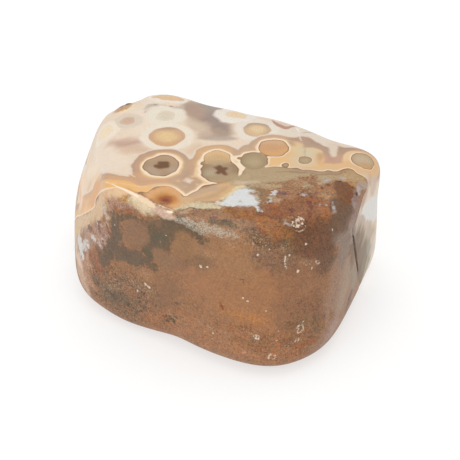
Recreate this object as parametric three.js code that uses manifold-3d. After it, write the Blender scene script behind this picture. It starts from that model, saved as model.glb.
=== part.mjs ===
import * as THREE from "three";
import { mergeVertices } from "three/addons/utils/BufferGeometryUtils.js";
import Module from "manifold-3d";

// A tumbled ocean jasper that lies on its flattest side, in millimetres with +Z up. The origin is
// on the surface below the stone, in the middle of the box that the stone fills.
//
// Tumbling turns a broken lump into a blunt polyhedron. So the stone is drawn from its heart: it
// has a few worn faces, each with a direction and a distance, and every direction from the heart
// meets the surface where a soft minimum of those faces says.

// Directions are [azimuth, elevation] in degrees: azimuth 0 is +X, 90 is +Y, elevation 90 is +Z.
const HEART = new THREE.Vector3(0.8, 1.0, 15.2);
const FACES = {
  top: { towards: [90, 89], distance: 16 },
  front: { towards: [-68, 15], distance: 27.9 },
  frontLeft: { towards: [-124, 2], distance: 22.5 },
  frontLow: { towards: [-111, -45], distance: 28.8 },
  left: { towards: [-175, 15], distance: 27.4 },
  leftBack: { towards: [122, 21], distance: 34.6 },
  leftLow: { towards: [176, -53], distance: 30.4 },
  back: { towards: [71, 1], distance: 20.3 },
  backLow: { towards: [89, -46], distance: 23 },
  rightBack: { towards: [56, 18], distance: 23.4 },
  right: { towards: [-18, -3], distance: 27.1 },
  rightLow: { towards: [-40, -45], distance: 34.1 },
  base: { towards: [0, -90], distance: 15.5 },
};

// How sharply neighbouring faces meet: tumbling blunted the edges, but the one at the front left,
// between the top and the front, came out of it crisper. It fades out over some degrees.
const BLUNT = 10;
const CRISP = 26;
const CRISP_EDGE = { from: [-163, 32], to: [-122, 35], fade: 9 };

// Low swells and hollows left between the faces, each fading out over SWELL_FADE degrees.
const SWELL_FADE = 10;
const SWELLS = [
  { towards: [3, 24], height: 0.7 },
  { towards: [21, 32], height: -0.6 },
  { towards: [55, 38], height: 0.1 },
  { towards: [76, 33], height: -0.4 },
  { towards: [101, 34], height: -0.4 },
  { towards: [117, 28], height: 0.9 },
  { towards: [134, 24], height: -0.3 },
  { towards: [-147, -29], height: 0.4 },
  { towards: [-118, -33], height: -0.5 },
  { towards: [-88, -28], height: 0.1 },
  { towards: [-61, -24], height: -0.3 },
];

// Scars of flakes that split off late. A scar is a flat that starts at no depth at one end of its
// edge, lies deepest under the edge's other end, and runs out at the surface on its far side.
const SCARS = [
  { edgeStart: [-32, 17.5], edgeEnd: [-14, -19.5], farSide: [0, 2], depth: 0.7, width: 14 },
  { edgeStart: [143, 28.5], edgeEnd: [132, 27.8], farSide: [137, 21], depth: 0.7, width: 6 },
];
const SCAR_CLEARANCE = 6;

// The mesh is a box of squares about as large as the stone, blown out to its surface from the
// heart. The box is turned so that one of its long upper edges runs along the crisp edge.
const CAGE = { length: 54, width: 41, height: 29, turn: -44 };
const SQUARE = 1.8;

function unit([azimuth, elevation]) {
  const polar = THREE.MathUtils.degToRad(90 - elevation);
  const turn = THREE.MathUtils.degToRad(azimuth);
  const flat = Math.sin(polar);
  return new THREE.Vector3(flat * Math.cos(turn), flat * Math.sin(turn), Math.cos(polar));
}

const fall = (angle, fade) => Math.exp(-((angle / fade) ** 2));

const faces = Object.values(FACES).map(({ towards, distance }) => ({
  normal: unit(towards),
  distance,
}));
const swells = SWELLS.map(({ towards, height }) => ({ centre: unit(towards), height }));
const crispFrom = unit(CRISP_EDGE.from);
const crispTo = unit(CRISP_EDGE.to);

// The soft minimum: a face at distance d is met at d / cosine, and a power mean joins the faces.
function facetedRadius(direction, sharpness) {
  let sum = 0;
  for (const { normal, distance } of faces) {
    sum += (Math.max(0, normal.dot(direction)) / distance) ** sharpness;
  }
  return sum ** (-1 / sharpness);
}

// 1 on the crisp edge, falling to 0 away from it.
function crispness(direction) {
  const nearest = new THREE.Line3(crispFrom, crispTo)
    .closestPointToPoint(direction, true, new THREE.Vector3())
    .normalize();
  return fall(THREE.MathUtils.radToDeg(nearest.angleTo(direction)), CRISP_EDGE.fade);
}

function radius(direction) {
  let reach = THREE.MathUtils.lerp(
    facetedRadius(direction, BLUNT),
    facetedRadius(direction, CRISP),
    crispness(direction),
  );
  for (const { centre, height } of swells) {
    reach += height * fall(THREE.MathUtils.radToDeg(centre.angleTo(direction)), SWELL_FADE);
  }
  return reach;
}

function surfacePoint(direction) {
  return direction.clone().multiplyScalar(radius(direction)).add(HEART);
}

// The whole pebble, with a flat underside where the stone stands on it.
function pebble() {
  const { length, width, height, turn } = CAGE;
  const squares = [length, width, height].map((side) => Math.round(side / SQUARE));
  const geometry = new THREE.BoxGeometry(length, width, height, ...squares);
  geometry.rotateZ(THREE.MathUtils.degToRad(turn));
  geometry.deleteAttribute("normal");
  geometry.deleteAttribute("uv");
  const position = geometry.getAttribute("position");
  const direction = new THREE.Vector3();
  for (let i = 0; i < position.count; i++) {
    const reached = surfacePoint(direction.fromBufferAttribute(position, i).normalize());
    position.setXYZ(i, reached.x, reached.y, Math.max(0, reached.z));
  }
  return mergeVertices(geometry);
}

// A block that takes a flake off: its underside is the scar, and one side stands on the edge.
function scarBlock({ edgeStart, edgeEnd, farSide, depth, width }) {
  const start = surfacePoint(unit(edgeStart));
  const far = surfacePoint(unit(farSide));
  const outwards = unit(farSide);
  const deepest = surfacePoint(unit(edgeEnd)).addScaledVector(outwards, -depth);
  const along = deepest.clone().sub(start);
  const length = along.length() + 2 * SCAR_CLEARANCE;
  along.normalize();
  const up = along.clone().cross(far.clone().sub(start)).normalize();
  if (up.dot(outwards) < 0) up.negate();
  const across = up.clone().cross(along);
  if (across.dot(far.clone().sub(start)) < 0) {
    along.negate();
    across.negate();
  }
  const middle = start.clone().add(deepest).divideScalar(2);
  middle.addScaledVector(across, width / 2).addScaledVector(up, SCAR_CLEARANCE / 2);
  const block = new THREE.BoxGeometry(length, width, SCAR_CLEARANCE);
  const frame = new THREE.Matrix4().makeBasis(along, across, up).setPosition(middle);
  block.deleteAttribute("normal");
  block.deleteAttribute("uv");
  return mergeVertices(block.applyMatrix4(frame));
}

const wasm = await Module();
wasm.setup();

function solid(geometry) {
  return new wasm.Manifold(
    new wasm.Mesh({
      numProp: 3,
      vertProperties: new Float32Array(geometry.getAttribute("position").array),
      triVerts: new Uint32Array(geometry.index.array),
    }),
  );
}

function geometryOf(body) {
  const mesh = body.getMesh();
  const geometry = new THREE.BufferGeometry();
  geometry.setAttribute("position", new THREE.BufferAttribute(mesh.vertProperties, 3));
  geometry.setIndex(new THREE.BufferAttribute(mesh.triVerts, 1));
  geometry.computeVertexNormals();
  return geometry;
}

const body = SCARS.map(scarBlock).reduce(
  (stone, block) => stone.subtract(solid(block)),
  solid(pebble()),
);

const jasper = new THREE.MeshStandardMaterial({
  color: "#a8795a",
  roughness: 0.25,
  metalness: 0,
});
const stone = new THREE.Mesh(geometryOf(body), jasper);
stone.name = "stone";

const part = new THREE.Group();
part.add(stone);

export default part;
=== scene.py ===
"""A tumbled ocean jasper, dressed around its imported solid.

The stone is one polished pebble. Its surface is worked out as a fine mesh from the same worn faces
as the solid, and what shows on it is laid out in millimetres on that surface: the agate bands that
follow the edge of the brown mass and the orbs, soft coats of colour, and crisp patches and marks.

A place on the stone is given by the column and row at which the photograph shows it or, where it is
hidden, by its azimuth and elevation from the stone's heart. A half-width in millimetres follows.
"""

import logging
import math
from collections.abc import Sequence
from dataclasses import dataclass, field
from enum import Enum

import bpy
import numpy as np
from mathutils import Matrix


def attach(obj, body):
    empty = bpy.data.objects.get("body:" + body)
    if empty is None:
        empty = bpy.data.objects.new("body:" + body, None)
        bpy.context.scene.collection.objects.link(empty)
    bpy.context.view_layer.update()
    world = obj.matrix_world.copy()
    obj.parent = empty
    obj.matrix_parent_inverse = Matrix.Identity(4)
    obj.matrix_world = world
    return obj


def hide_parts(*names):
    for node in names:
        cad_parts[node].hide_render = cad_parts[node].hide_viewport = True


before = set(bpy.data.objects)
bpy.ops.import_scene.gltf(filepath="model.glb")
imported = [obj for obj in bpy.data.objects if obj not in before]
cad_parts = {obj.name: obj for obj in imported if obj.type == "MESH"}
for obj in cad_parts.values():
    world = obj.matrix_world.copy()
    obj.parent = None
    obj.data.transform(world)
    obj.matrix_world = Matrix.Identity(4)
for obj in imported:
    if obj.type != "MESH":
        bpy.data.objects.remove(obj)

Array = np.ndarray
Colour = tuple[float, float, float]
Stroke = Sequence[tuple[float, float, float]]
Socket = bpy.types.NodeSocket
log = logging.getLogger("jasper")

MM = 0.001
BODY = "root"
NODE = "stone"
PIECE = "jasper_stone"

# Farther than any two places of the stone lie apart, in millimetres.
FAR = 99.0


def unit(azimuth: float | Array, elevation: float | Array) -> Array:
    """The direction (cos e cos a, cos e sin a, sin e) of an azimuth a and an elevation e.

    Args:
        azimuth: Degrees from +X towards +Y.
        elevation: Degrees above the level.

    Returns:
        A unit vector, or one row for each of several azimuths.
    """
    turn = np.radians(azimuth)
    rise = np.radians(elevation)
    flat = np.cos(rise)
    return np.stack([flat * np.cos(turn), flat * np.sin(turn), np.sin(rise) + 0 * turn], axis=-1)


def normalised(vectors: Array) -> Array:
    """The same directions at length one."""
    return vectors / np.linalg.norm(vectors, axis=-1, keepdims=True)


def angle_between(first: Array, second: Array) -> Array:
    """The angle between unit vectors, in degrees."""
    return np.degrees(np.arccos(np.clip(first @ second, -1.0, 1.0)))


def smooth_step(low: float, high: float, value: Array) -> Array:
    """0 below low and 1 above high, with the cubic 3t² - 2t³ between them."""
    t = np.clip((value - low) / (high - low), 0.0, 1.0)
    return t * t * (3.0 - 2.0 * t)


def linear(hex_colour: str) -> Colour:
    """Linear red, green and blue: c / 12.92 where dark, else ((c + 0.055) / 1.055)^2.4."""
    channels = [int(hex_colour[i : i + 2], 16) / 255.0 for i in (1, 3, 5)]
    return tuple(c / 12.92 if c <= 0.04045 else ((c + 0.055) / 1.055) ** 2.4 for c in channels)


def standing(axes: Array, place: Array) -> Matrix:
    """The matrix of a camera or lamp.

    Args:
        axes: Its right, up and backward directions, one row each.
        place: Where it stands, in metres.

    Returns:
        Its world matrix.
    """
    rows = np.eye(4)
    rows[:3, :3] = np.asarray(axes).T
    rows[:3, 3] = place
    return Matrix(rows.tolist())


def waves(points: Array, size: float, seed: int, count: int = 10) -> Array:
    """Smooth irregular waves over the points, about -1 to 1.

    The value is the sum of plane sine waves with random directions, phases and lengths, divided by
    the root of their number, so that it keeps the same strength for any count.

    Args:
        points: Places in millimetres, one row each.
        size: The mean length of a wave, in millimetres.
        seed: Chooses the waves.
        count: How many waves are summed.

    Returns:
        One value for each point.
    """
    draw = np.random.default_rng(seed)
    directions = normalised(draw.normal(size=(count, 3)))
    turns = 2.0 * math.pi / (size * draw.uniform(0.7, 1.6, count))
    phases = draw.uniform(0.0, 2.0 * math.pi, count)
    return np.sin((points @ directions.T) * turns + phases).sum(axis=1) / math.sqrt(count)


@dataclass(frozen=True)
class PhotoView:
    """The photograph's camera, in millimetres and degrees. It looks down by its elevation.

    The target is what the middle of the photograph shows, and px_per_mm is the scale there.
    """

    side_px: int = 460
    elevation: float = 36.0
    distance: float = 430.0
    px_per_mm: float = 5.1
    target: tuple[float, float, float] = (1.2, 0.24, 14.15)
    sensor: float = 36.0
    clip: tuple[float, float] = (10.0, 10000.0)

    def axes(self) -> Array:
        """The camera's right, up and backward directions, one row each."""
        rise = math.radians(self.elevation)
        up = [0.0, math.sin(rise), math.cos(rise)]
        return np.array([[1.0, 0.0, 0.0], up, [0.0, -math.cos(rise), math.sin(rise)]])

    def eye(self) -> Array:
        """Where the camera stands."""
        return np.array(self.target) + self.distance * self.axes()[2]

    def rays(self, pixels: Array) -> Array:
        """The directions from the camera through the photograph's pixels.

        A pixel is first taken to the plane through the target that faces the camera.

        Args:
            pixels: Columns and rows in the photograph, one pair each.

        Returns:
            One unit vector for each pixel.
        """
        right, up, _ = self.axes()
        middle = self.side_px / 2
        across = (pixels[:, 0] - middle) / self.px_per_mm
        down = (pixels[:, 1] - middle) / self.px_per_mm
        aimed = np.array(self.target) + across[:, None] * right - down[:, None] * up
        return normalised(aimed - self.eye())

    def add_camera(self) -> None:
        """Makes the camera and gives it to the scene."""
        camera = bpy.data.cameras.new("photo_camera")
        camera.sensor_width = self.sensor
        camera.lens = self.sensor * self.distance * self.px_per_mm / self.side_px
        camera.clip_start, camera.clip_end = (MM * limit for limit in self.clip)
        holder = bpy.data.objects.new("photo_camera", camera)
        bpy.context.scene.collection.objects.link(holder)
        holder.matrix_world = standing(self.axes(), self.eye() * MM)
        bpy.context.scene.camera = holder
        log.info("camera: %.0f degrees up, %.0f mm away", self.elevation, self.distance)


@dataclass(frozen=True)
class FlakeScar:
    """The flat left by a flake that split off late, as directions from the stone's heart.

    Attributes:
        edge_start: The end of its edge where the flat has no depth.
        edge_end: The end of its edge under which it lies deepest.
        far_side: Where the flat runs out at the surface.
        depth: Below the edge's deep end, in millimetres.
        width: How far the flake reached from the edge, in millimetres.
    """

    edge_start: tuple[float, float]
    edge_end: tuple[float, float]
    far_side: tuple[float, float]
    depth: float
    width: float


@dataclass(frozen=True)
class WornPebble:
    """The outer shape: worn faces round a heart, joined by a soft minimum, in millimetres.

    A face at distance d, seen in a direction whose cosine to it is c, is met at d / c. The soft
    minimum over all faces is (sum of (c / d) to the power p) to the power -1 / p, where p is
    blunt, or crisp along the crisp edge. Faces and swells are given by azimuth, elevation, and
    distance or height. The cage is the box of squares that is blown out to the surface.
    """

    heart: tuple[float, float, float] = (0.8, 1.0, 15.2)
    faces: tuple[tuple[float, float, float], ...] = (
        (90, 89, 16), (-68, 15, 27.9), (-124, 2, 22.5), (-111, -45, 28.8), (-175, 15, 27.4),
        (122, 21, 34.6), (176, -53, 30.4), (71, 1, 20.3), (89, -46, 23), (56, 18, 23.4),
        (-18, -3, 27.1), (-40, -45, 34.1), (0, -90, 15.5),
    )
    blunt: float = 10.0
    crisp: float = 26.0
    crisp_from: tuple[float, float] = (-163, 32)
    crisp_to: tuple[float, float] = (-122, 35)
    crisp_fade: float = 9.0
    swells: tuple[tuple[float, float, float], ...] = (
        (3, 24, 0.7), (21, 32, -0.6), (55, 38, 0.1), (76, 33, -0.4), (101, 34, -0.4),
        (117, 28, 0.9), (134, 24, -0.3), (-147, -29, 0.4), (-118, -33, -0.5), (-88, -28, 0.1),
        (-61, -24, -0.3),
    )
    swell_fade: float = 10.0
    scars: tuple[FlakeScar, ...] = (
        FlakeScar((-32, 17.5), (-14, -19.5), (0, 2), 0.7, 14),
        FlakeScar((143, 28.5), (132, 27.8), (137, 21), 0.7, 6),
    )
    # How far past its edge's ends a scar cuts, and from how near that edge draws the mesh.
    scar_clearance: float = 6.0
    ledge_pull: float = 0.7
    cage: tuple[float, float, float] = (54, 41, 29)
    cage_turn: float = -44.0
    square: float = 0.32
    search_steps: int = 60
    halvings: int = 22

    def faceted(self, directions: Array, sharpness: float) -> Array:
        """The soft minimum of the worn faces, by the power mean that the class describes.

        Args:
            directions: Unit vectors from the heart.
            sharpness: The power p.

        Returns:
            The distance from the heart in each direction.
        """
        azimuths, elevations, distances = np.array(self.faces, float).T
        cosines = np.maximum(directions @ unit(azimuths, elevations).T, 0.0)
        return ((cosines / distances) ** sharpness).sum(axis=1) ** (-1.0 / sharpness)

    def crispness(self, directions: Array) -> Array:
        """How crisp the edges are: e^-(a / fade)², with the angle a to the crisp edge's chord.

        Args:
            directions: Unit vectors from the heart.

        Returns:
            1 on the crisp edge, falling to 0 away from it.
        """
        start = unit(*self.crisp_from)
        along = unit(*self.crisp_to) - start
        share = np.clip((directions - start) @ along / (along @ along), 0.0, 1.0)
        nearest = normalised(start + share[:, None] * along)
        cosine = np.clip((nearest * directions).sum(axis=1), -1.0, 1.0)
        return np.exp(-((np.degrees(np.arccos(cosine)) / self.crisp_fade) ** 2))

    def reach(self, directions: Array) -> Array:
        """How far the surface lies from the heart: the soft minimum, plus the low swells.

        Args:
            directions: Unit vectors from the heart.

        Returns:
            One distance for each.
        """
        crispness = self.crispness(directions)
        radius = self.faceted(directions, self.blunt) * (1.0 - crispness)
        radius += self.faceted(directions, self.crisp) * crispness
        for azimuth, elevation, height in self.swells:
            angle = angle_between(directions, unit(azimuth, elevation))
            radius += height * np.exp(-((angle / self.swell_fade) ** 2))
        return radius

    def surface(self, directions: Array) -> Array:
        """The points of the surface that unit vectors from the heart reach."""
        return np.array(self.heart) + self.reach(directions)[:, None] * directions

    def outward(self, points: Array) -> Array:
        """The unit vectors from the heart to points."""
        return normalised(points - np.array(self.heart))

    def first_hit(self, eye: Array, rays: Array, near: float, far: float) -> Array:
        """Where rays first meet the surface.

        Each ray is stepped through, then the step that enters the stone is halved again and again.
        A ray that misses takes the place on the surface that it passes most closely.

        Args:
            eye: Where the rays start.
            rays: Their unit directions.
            near: Distance from the eye at which the search starts.
            far: Distance at which it ends.

        Returns:
            One point for each ray.
        """

        def height(distance: Array) -> Array:
            """Height above the surface at a distance along each ray, on the line to the heart."""
            out = eye + distance[:, None] * rays - np.array(self.heart)
            return np.linalg.norm(out, axis=1) - self.reach(normalised(out))

        steps = np.linspace(near, far, self.search_steps)
        heights = np.stack([height(np.full(len(rays), step)) for step in steps], axis=1)
        inside = heights < 0.0
        hit = inside.any(axis=1)
        first = np.maximum(inside.argmax(axis=1), 1)
        low = steps[first - 1]
        high = steps[first]
        for _ in range(self.halvings):
            middle = (low + high) / 2
            outside = height(middle) > 0.0
            low = np.where(outside, middle, low)
            high = np.where(outside, high, middle)
        distance = np.where(hit, high, steps[heights.argmin(axis=1)])
        return self.surface(self.outward(eye + distance[:, None] * rays))

    def cage_mesh(self) -> tuple[Array, Array]:
        """A box of squares about as large as the stone, turned to follow the crisp edge.

        Each side of the box is a grid of lattice points (i, j, k). Points that two sides share have
        the same lattice number, by which they are joined.

        Returns:
            The corner points, and four corner numbers for each square, ordered to face outwards.
        """
        counts = np.array([round(side / self.square) for side in self.cage])
        keys = []
        quads = []
        offset = 0
        for axis in range(3):
            u, v = (axis + 1) % 3, (axis + 2) % 3
            for end in (0, counts[axis]):
                grid = np.zeros((counts[u] + 1, counts[v] + 1, 3), dtype=np.int64)
                grid[..., axis] = end
                grid[..., u] = np.arange(counts[u] + 1)[:, None]
                grid[..., v] = np.arange(counts[v] + 1)[None, :]
                number = offset + np.arange(grid[..., 0].size).reshape(grid.shape[:2])
                corners = [number[:-1, :-1], number[1:, :-1], number[1:, 1:], number[:-1, 1:]]
                if end == 0:
                    corners.reverse()
                quads.append(np.stack([c.ravel() for c in corners], axis=1))
                keys.append(grid.reshape(-1, 3))
                offset += number.size
        lattice = np.concatenate(keys)
        spans = counts + 1
        code = (lattice[:, 0] * spans[1] + lattice[:, 1]) * spans[2] + lattice[:, 2]
        _, first, joined = np.unique(code, return_index=True, return_inverse=True)
        box = (lattice[first] / counts - 0.5) * np.array(self.cage)
        turn = math.radians(self.cage_turn)
        cosine, sine = math.cos(turn), math.sin(turn)
        spin = np.array([[cosine, sine, 0.0], [-sine, cosine, 0.0], [0.0, 0.0, 1.0]])
        return box @ spin, joined.ravel()[np.concatenate(quads)]

    def scar_frame(self, scar: FlakeScar) -> tuple[Array, Array, Array, Array, float]:
        """A scar's plane and edge.

        Args:
            scar: Which scar.

        Returns:
            The edge's start, its direction, the direction from the edge across the flat, the
            flat's outward normal, and the edge's length.
        """
        ends = np.stack([unit(*scar.edge_start), unit(*scar.edge_end), unit(*scar.far_side)])
        start, end, far = self.surface(ends)
        deepest = end - scar.depth * ends[2]
        length = float(np.linalg.norm(deepest - start))
        along = (deepest - start) / length
        up = normalised(np.cross(along, far - start))
        if up @ ends[2] < 0:
            up = -up
        across = np.cross(up, along)
        if across @ (far - start) < 0:
            across = -across
        return start, along, across, up, length

    def with_scars(self, points: Array) -> Array:
        """The points with the flakes taken off.

        Points within ledge_pull of a scar's edge are first drawn to it, from s to s |s| / pull, so
        that the ledge is a crisp step. Then a point beyond the edge drops to the scar's plane along
        its own line to the heart, where it stands above that plane.

        Args:
            points: Places of the surface, which are changed.

        Returns:
            The same array.
        """
        heart = np.array(self.heart)
        for scar in self.scars:
            start, along, across, up, length = self.scar_frame(scar)
            offset = points - start
            run = offset @ along
            side = offset @ across
            beside = np.abs(run - length / 2) < length / 2 + self.scar_clearance
            beside &= np.abs(offset @ up) < self.scar_clearance / 2
            pulled = beside & (np.abs(side) < self.ledge_pull)
            drawn = side[pulled] * np.abs(side[pulled]) / self.ledge_pull
            moved = points[pulled] + (drawn - side[pulled])[:, None] * across
            points[pulled] = self.surface(self.outward(moved))
            offset = points - start
            side = offset @ across
            cut = beside & (side > 0.0) & (side < scar.width) & (offset @ up > 0.0)
            lines = points[cut] - heart
            points[cut] = heart + lines * (((start - heart) @ up) / (lines @ up))[:, None]
        return points


@dataclass(frozen=True)
class Placing:
    """Finds the places on the stone that pixels of the photograph, or directions, stand for.

    The stone lies within span of the camera's target.
    """

    view: PhotoView
    shape: WornPebble
    span: float = 45.0

    def seen(self, pixels: Sequence[tuple[float, ...]]) -> Array:
        """The surface points that the photograph shows at the pixels, each with its other values.

        Args:
            pixels: Column and row of each point, and any further values.

        Returns:
            x, y and z in millimetres, then the further values, one row for each point.
        """
        table = np.array(pixels, float)
        near, far = self.view.distance - self.span, self.view.distance + self.span
        hits = self.shape.first_hit(self.view.eye(), self.view.rays(table[:, :2]), near, far)
        return np.hstack([hits, table[:, 2:]])

    def turned(self, directions: Sequence[tuple[float, ...]]) -> Array:
        """The same for points given by azimuth and elevation, for the sides that don't show.

        Args:
            directions: Azimuth and elevation of each point, and any further values.

        Returns:
            x, y and z in millimetres, then the further values, one row for each point.
        """
        table = np.array(directions, float)
        hits = self.shape.surface(unit(table[:, 0], table[:, 1]))
        return np.hstack([hits, table[:, 2:]])


def depth_in(points: Array, strokes: Sequence[Array]) -> Array:
    """How deep the points lie inside strokes, in millimetres, below zero outside.

    A stroke is a row of places with half-widths. On a piece from a to b, a point p is nearest at
    the share t = (p - a)·(b - a) / |b - a|², held between 0 and 1. Its depth is the half-width
    there less its distance from there, and the largest depth counts.

    Args:
        points: Places in millimetres, one row each.
        strokes: x, y, z and half-width, one row for each place of a stroke.

    Returns:
        One depth for each point.
    """
    deepest = np.full(len(points), -FAR)
    for stroke in strokes:
        if len(stroke) == 1:
            stroke = np.repeat(stroke, 2, axis=0)
        for first, last in zip(stroke[:-1], stroke[1:]):
            along = last[:3] - first[:3]
            squared = max(float(along @ along), 1e-9)
            offset = points - first[:3]
            share = np.clip(offset @ along / squared, 0.0, 1.0)
            distance = np.linalg.norm(offset - share[:, None] * along, axis=1)
            depth = first[3] + share * (last[3] - first[3]) - distance
            np.maximum(deepest, depth, out=deepest)
    return deepest


class OrbKind(Enum):
    """How an orb grew."""

    BANDED = "banded"
    HALOED = "haloed"


@dataclass(frozen=True)
class Orb:
    """One orb: spheres round a few centres, cut by the polished surface.

    Attributes:
        kind: Banded orbs share the agate bands, haloed ones have a pale halo of their own.
        lobes: Column, row and radius in millimetres of each centre, or azimuth, elevation and
            radius where it is hidden.
        middle: Colour of its middle.
        rim: Colour of its rim.
        halo: Colour of its halo.
        reach: How far the halo goes, in millimetres.
        hidden: Whether its lobes are directions.
    """

    kind: OrbKind
    lobes: Stroke
    middle: str
    rim: str
    halo: str = "#ece0cf"
    reach: float = 1.6
    hidden: bool = False


@dataclass(frozen=True)
class Stain:
    """A soft colour in a coat, laid along strokes.

    Attributes:
        colour: Its colour.
        strokes: Columns, rows and half-widths in millimetres.
        soft: Half the width of its fading edge, in millimetres.
        ragged: How far its edge wanders, in millimetres.
        grain: How granular it is, from 0 up, or None to leave that as it is.
        wave: Length of the edge's waves, in millimetres.
        hidden: Whether its strokes are azimuths and elevations.
    """

    colour: str
    strokes: Sequence[Stroke]
    soft: float = 0.8
    ragged: float = 0.3
    grain: float | None = None
    wave: float = 3.0
    hidden: bool = False


class Layer(Enum):
    """Which of the layers of patches a patch lies in, from the lowest up."""

    UNDER = "under"
    UPPER = "upper"
    OVER = "over"


@dataclass(frozen=True)
class Patch:
    """A crisp patch of colour, laid along strokes.

    Patches of one layer join, and hide those of the layers below. Only the last layer lies over
    the agate bands.

    Attributes:
        colour: Its colour.
        strokes: Columns, rows and half-widths in millimetres.
        soft: Half the width of its edge, in millimetres.
        ragged: How far fine grains break its edge up, in millimetres.
        grain: How granular it is, from 0 to 1.
        hidden: Whether its strokes are azimuths and elevations.
    """

    colour: str
    strokes: Sequence[Stroke]
    soft: float = 0.15
    ragged: float = 0.3
    grain: float = 0.6
    hidden: bool = False


@dataclass(frozen=True)
class Showing:
    """What the polish and the studio add to a colour of the stone.

    Attributes:
        veil: White that the polish lays over every colour.
        brightness: How bright a white stone would show under the lamps.
        darkest: The least that the stone itself throws back.
    """

    veil: float
    brightness: float
    darkest: float = 0.004

    def under(self, hex_colour: str) -> Colour:
        """The stone's own linear colour where hex shows: (hex - veil) / brightness, not black."""
        return tuple(max((c - self.veil) / self.brightness, self.darkest) for c in linear(hex_colour))

    def rgba(self, hex_colour: str) -> tuple[float, float, float, float]:
        """The same colour, ready for a socket."""
        return (*self.under(hex_colour), 1.0)


@dataclass(frozen=True)
class Coat:
    """A base colour with its stains, from the lowest up.

    Attributes:
        colour: The base colour.
        grain: How granular the base is, from 0 to 1.
        showing: What is added to its colours where it mostly shows.
        stains: What lies over the base.
    """

    colour: str
    grain: float
    showing: Showing
    stains: Sequence[Stain]


@dataclass(frozen=True)
class Mark:
    """Strokes that the material colours by their depth.

    Attributes:
        strokes: Columns, rows and half-widths in millimetres.
        ragged: How far their edge wanders, in millimetres.
        wave: Length of the edge's waves, in millimetres.
        seed: Chooses the waves.
    """

    strokes: Sequence[Stroke]
    ragged: float = 0.0
    wave: float = 1.8
    seed: int = 0


@dataclass(frozen=True)
class Pit:
    """A small hollow in the surface, or a small swelling where its depth is below zero.

    Attributes:
        pixel: Column and row of its middle.
        radius: Where the bell-shaped dent has fallen to e^-1 of its depth, in millimetres.
        depth: How deep its middle is pressed in, in millimetres.
    """

    pixel: tuple[float, float]
    radius: float
    depth: float


BANDED = OrbKind.BANDED
HALOED = OrbKind.HALOED

# What shows on the pale top, and on the steep front.
TOP = Showing(0.056, 1.045)
FRONT = Showing(0.05, 1.04)

# The orbs. Where two meet, a place shows the one that it lies deeper in.
ORBS = (
    # The eye, and its neighbour with a golden dome over a brown star.
    Orb(BANDED, ((163.4, 163.4, 2.9), (160.8, 166.2, 3.35), (151.5, 167, 1.55)), "#b3987d", "#b09278"),
    Orb(BANDED, ((219.9, 170.6, 3.64), (219.7, 172.2, 3.6), (204.4, 163.4, 0.75)), "#b0997f", "#a08669"),
    Orb(BANDED, ((217.7, 157.6, 2.54), (217.7, 160, 2.6)), "#cdaa82", "#d9b488"),
    # The peach orb and the olive ones beside it.
    Orb(BANDED, ((273.7, 147.9, 2.98),), "#cfa37c", "#d0a37c"),
    Orb(BANDED, ((254.2, 159.8, 2.6), (254.2, 162, 2.6), (239.2, 158.2, 0.5)), "#b09b7b", "#a69174"),
    Orb(BANDED, ((304.9, 160, 1.3),), "#b9a383", "#a9977a"),
    Orb(BANDED, ((285.2, 165.2, 0.66),), "#b59d80", "#a58d6c"),
    Orb(BANDED, ((363.2, 160, 2.4),), "#c7b093", "#bda488"),
    # Orbs with halos, from the left.
    Orb(HALOED, ((104.6, 132.4, 2.1),), "#f2dcbc", "#f0dcc2", "#f0e2d0", 1.3),
    Orb(HALOED, ((127.4, 120.8, 1.5),), "#d3b29c", "#d5bba6", "#dfcfbd", 1.5),
    Orb(HALOED, ((137, 105.5, 1.4),), "#ecd5b8", "#ebd6bd", "#e8dac6", 1.1),
    Orb(HALOED, ((156, 96.8, 0.8), (162, 96.4, 1.4), (168, 96.6, 1.6), (174, 97.8, 1.5), (180, 99.4, 0.9)),
        "#e3c19d", "#dcbd9f", "#eee2d4", 0.9),
    Orb(HALOED, ((165.9, 115.7, 1.9),), "#dccfb9", "#e1d3bf", "#e9dfcd", 1.9),
    Orb(HALOED, ((167, 136.6, 3.5),), "#e5c596", "#cfa98a", "#ecdfcd", 1.7),
    Orb(HALOED, ((236.4, 114.4, 1.7), (230.4, 114.5, 1.15), (241.8, 116, 1.1)),
        "#ebd0a9", "#e9d4b7", "#ece3d6", 2.15),
    Orb(HALOED, ((257, 129.5, 2.75),), "#e3c9a2", "#c8ab8b", "#e8ddcf", 1.5),
    # Orbs of the sides that the photograph doesn't show.
    Orb(HALOED, ((34, 13, 2.3),), "#e6c79f", "#bfa389", hidden=True),
    Orb(HALOED, ((50, 1, 3),), "#dcb78f", "#b9977b", hidden=True),
    Orb(HALOED, ((66, 15, 2),), "#e9d4b4", "#d8bfa0", hidden=True),
    Orb(HALOED, ((79, -1, 2.7),), "#d3b198", "#c2a088", hidden=True),
    Orb(HALOED, ((95, 13, 2.6),), "#e5c59b", "#bd9f84", hidden=True),
    Orb(HALOED, ((112, 4, 1.9),), "#efd9b8", "#e3c9a7", hidden=True),
    Orb(HALOED, ((126, 14, 2.7),), "#dcb891", "#b7957a", hidden=True),
    Orb(HALOED, ((150, 8, 1.6),), "#e8cba4", "#c6a98d", hidden=True),
    Orb(HALOED, ((17, -3, 1.9),), "#e3d3bd", "#d9c6ae", hidden=True),
    Orb(BANDED, ((39, -17, 2.4),), "#a98d70", "#b99b7f", hidden=True),
    Orb(BANDED, ((58, -17, 3.2), (64, -13, 2.2)), "#b39c7d", "#a58d70", hidden=True),
    Orb(BANDED, ((93, -13, 3.3),), "#d0a47c", "#c69a73", hidden=True),
    Orb(BANDED, ((108, -17, 1.7),), "#b9a184", "#aa9475", hidden=True),
    Orb(BANDED, ((138, -4, 3.3),), "#a88b6f", "#b8997d", hidden=True),
    Orb(BANDED, ((152, -10, 1.9),), "#cfa37a", "#c39670", hidden=True),
)

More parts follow.
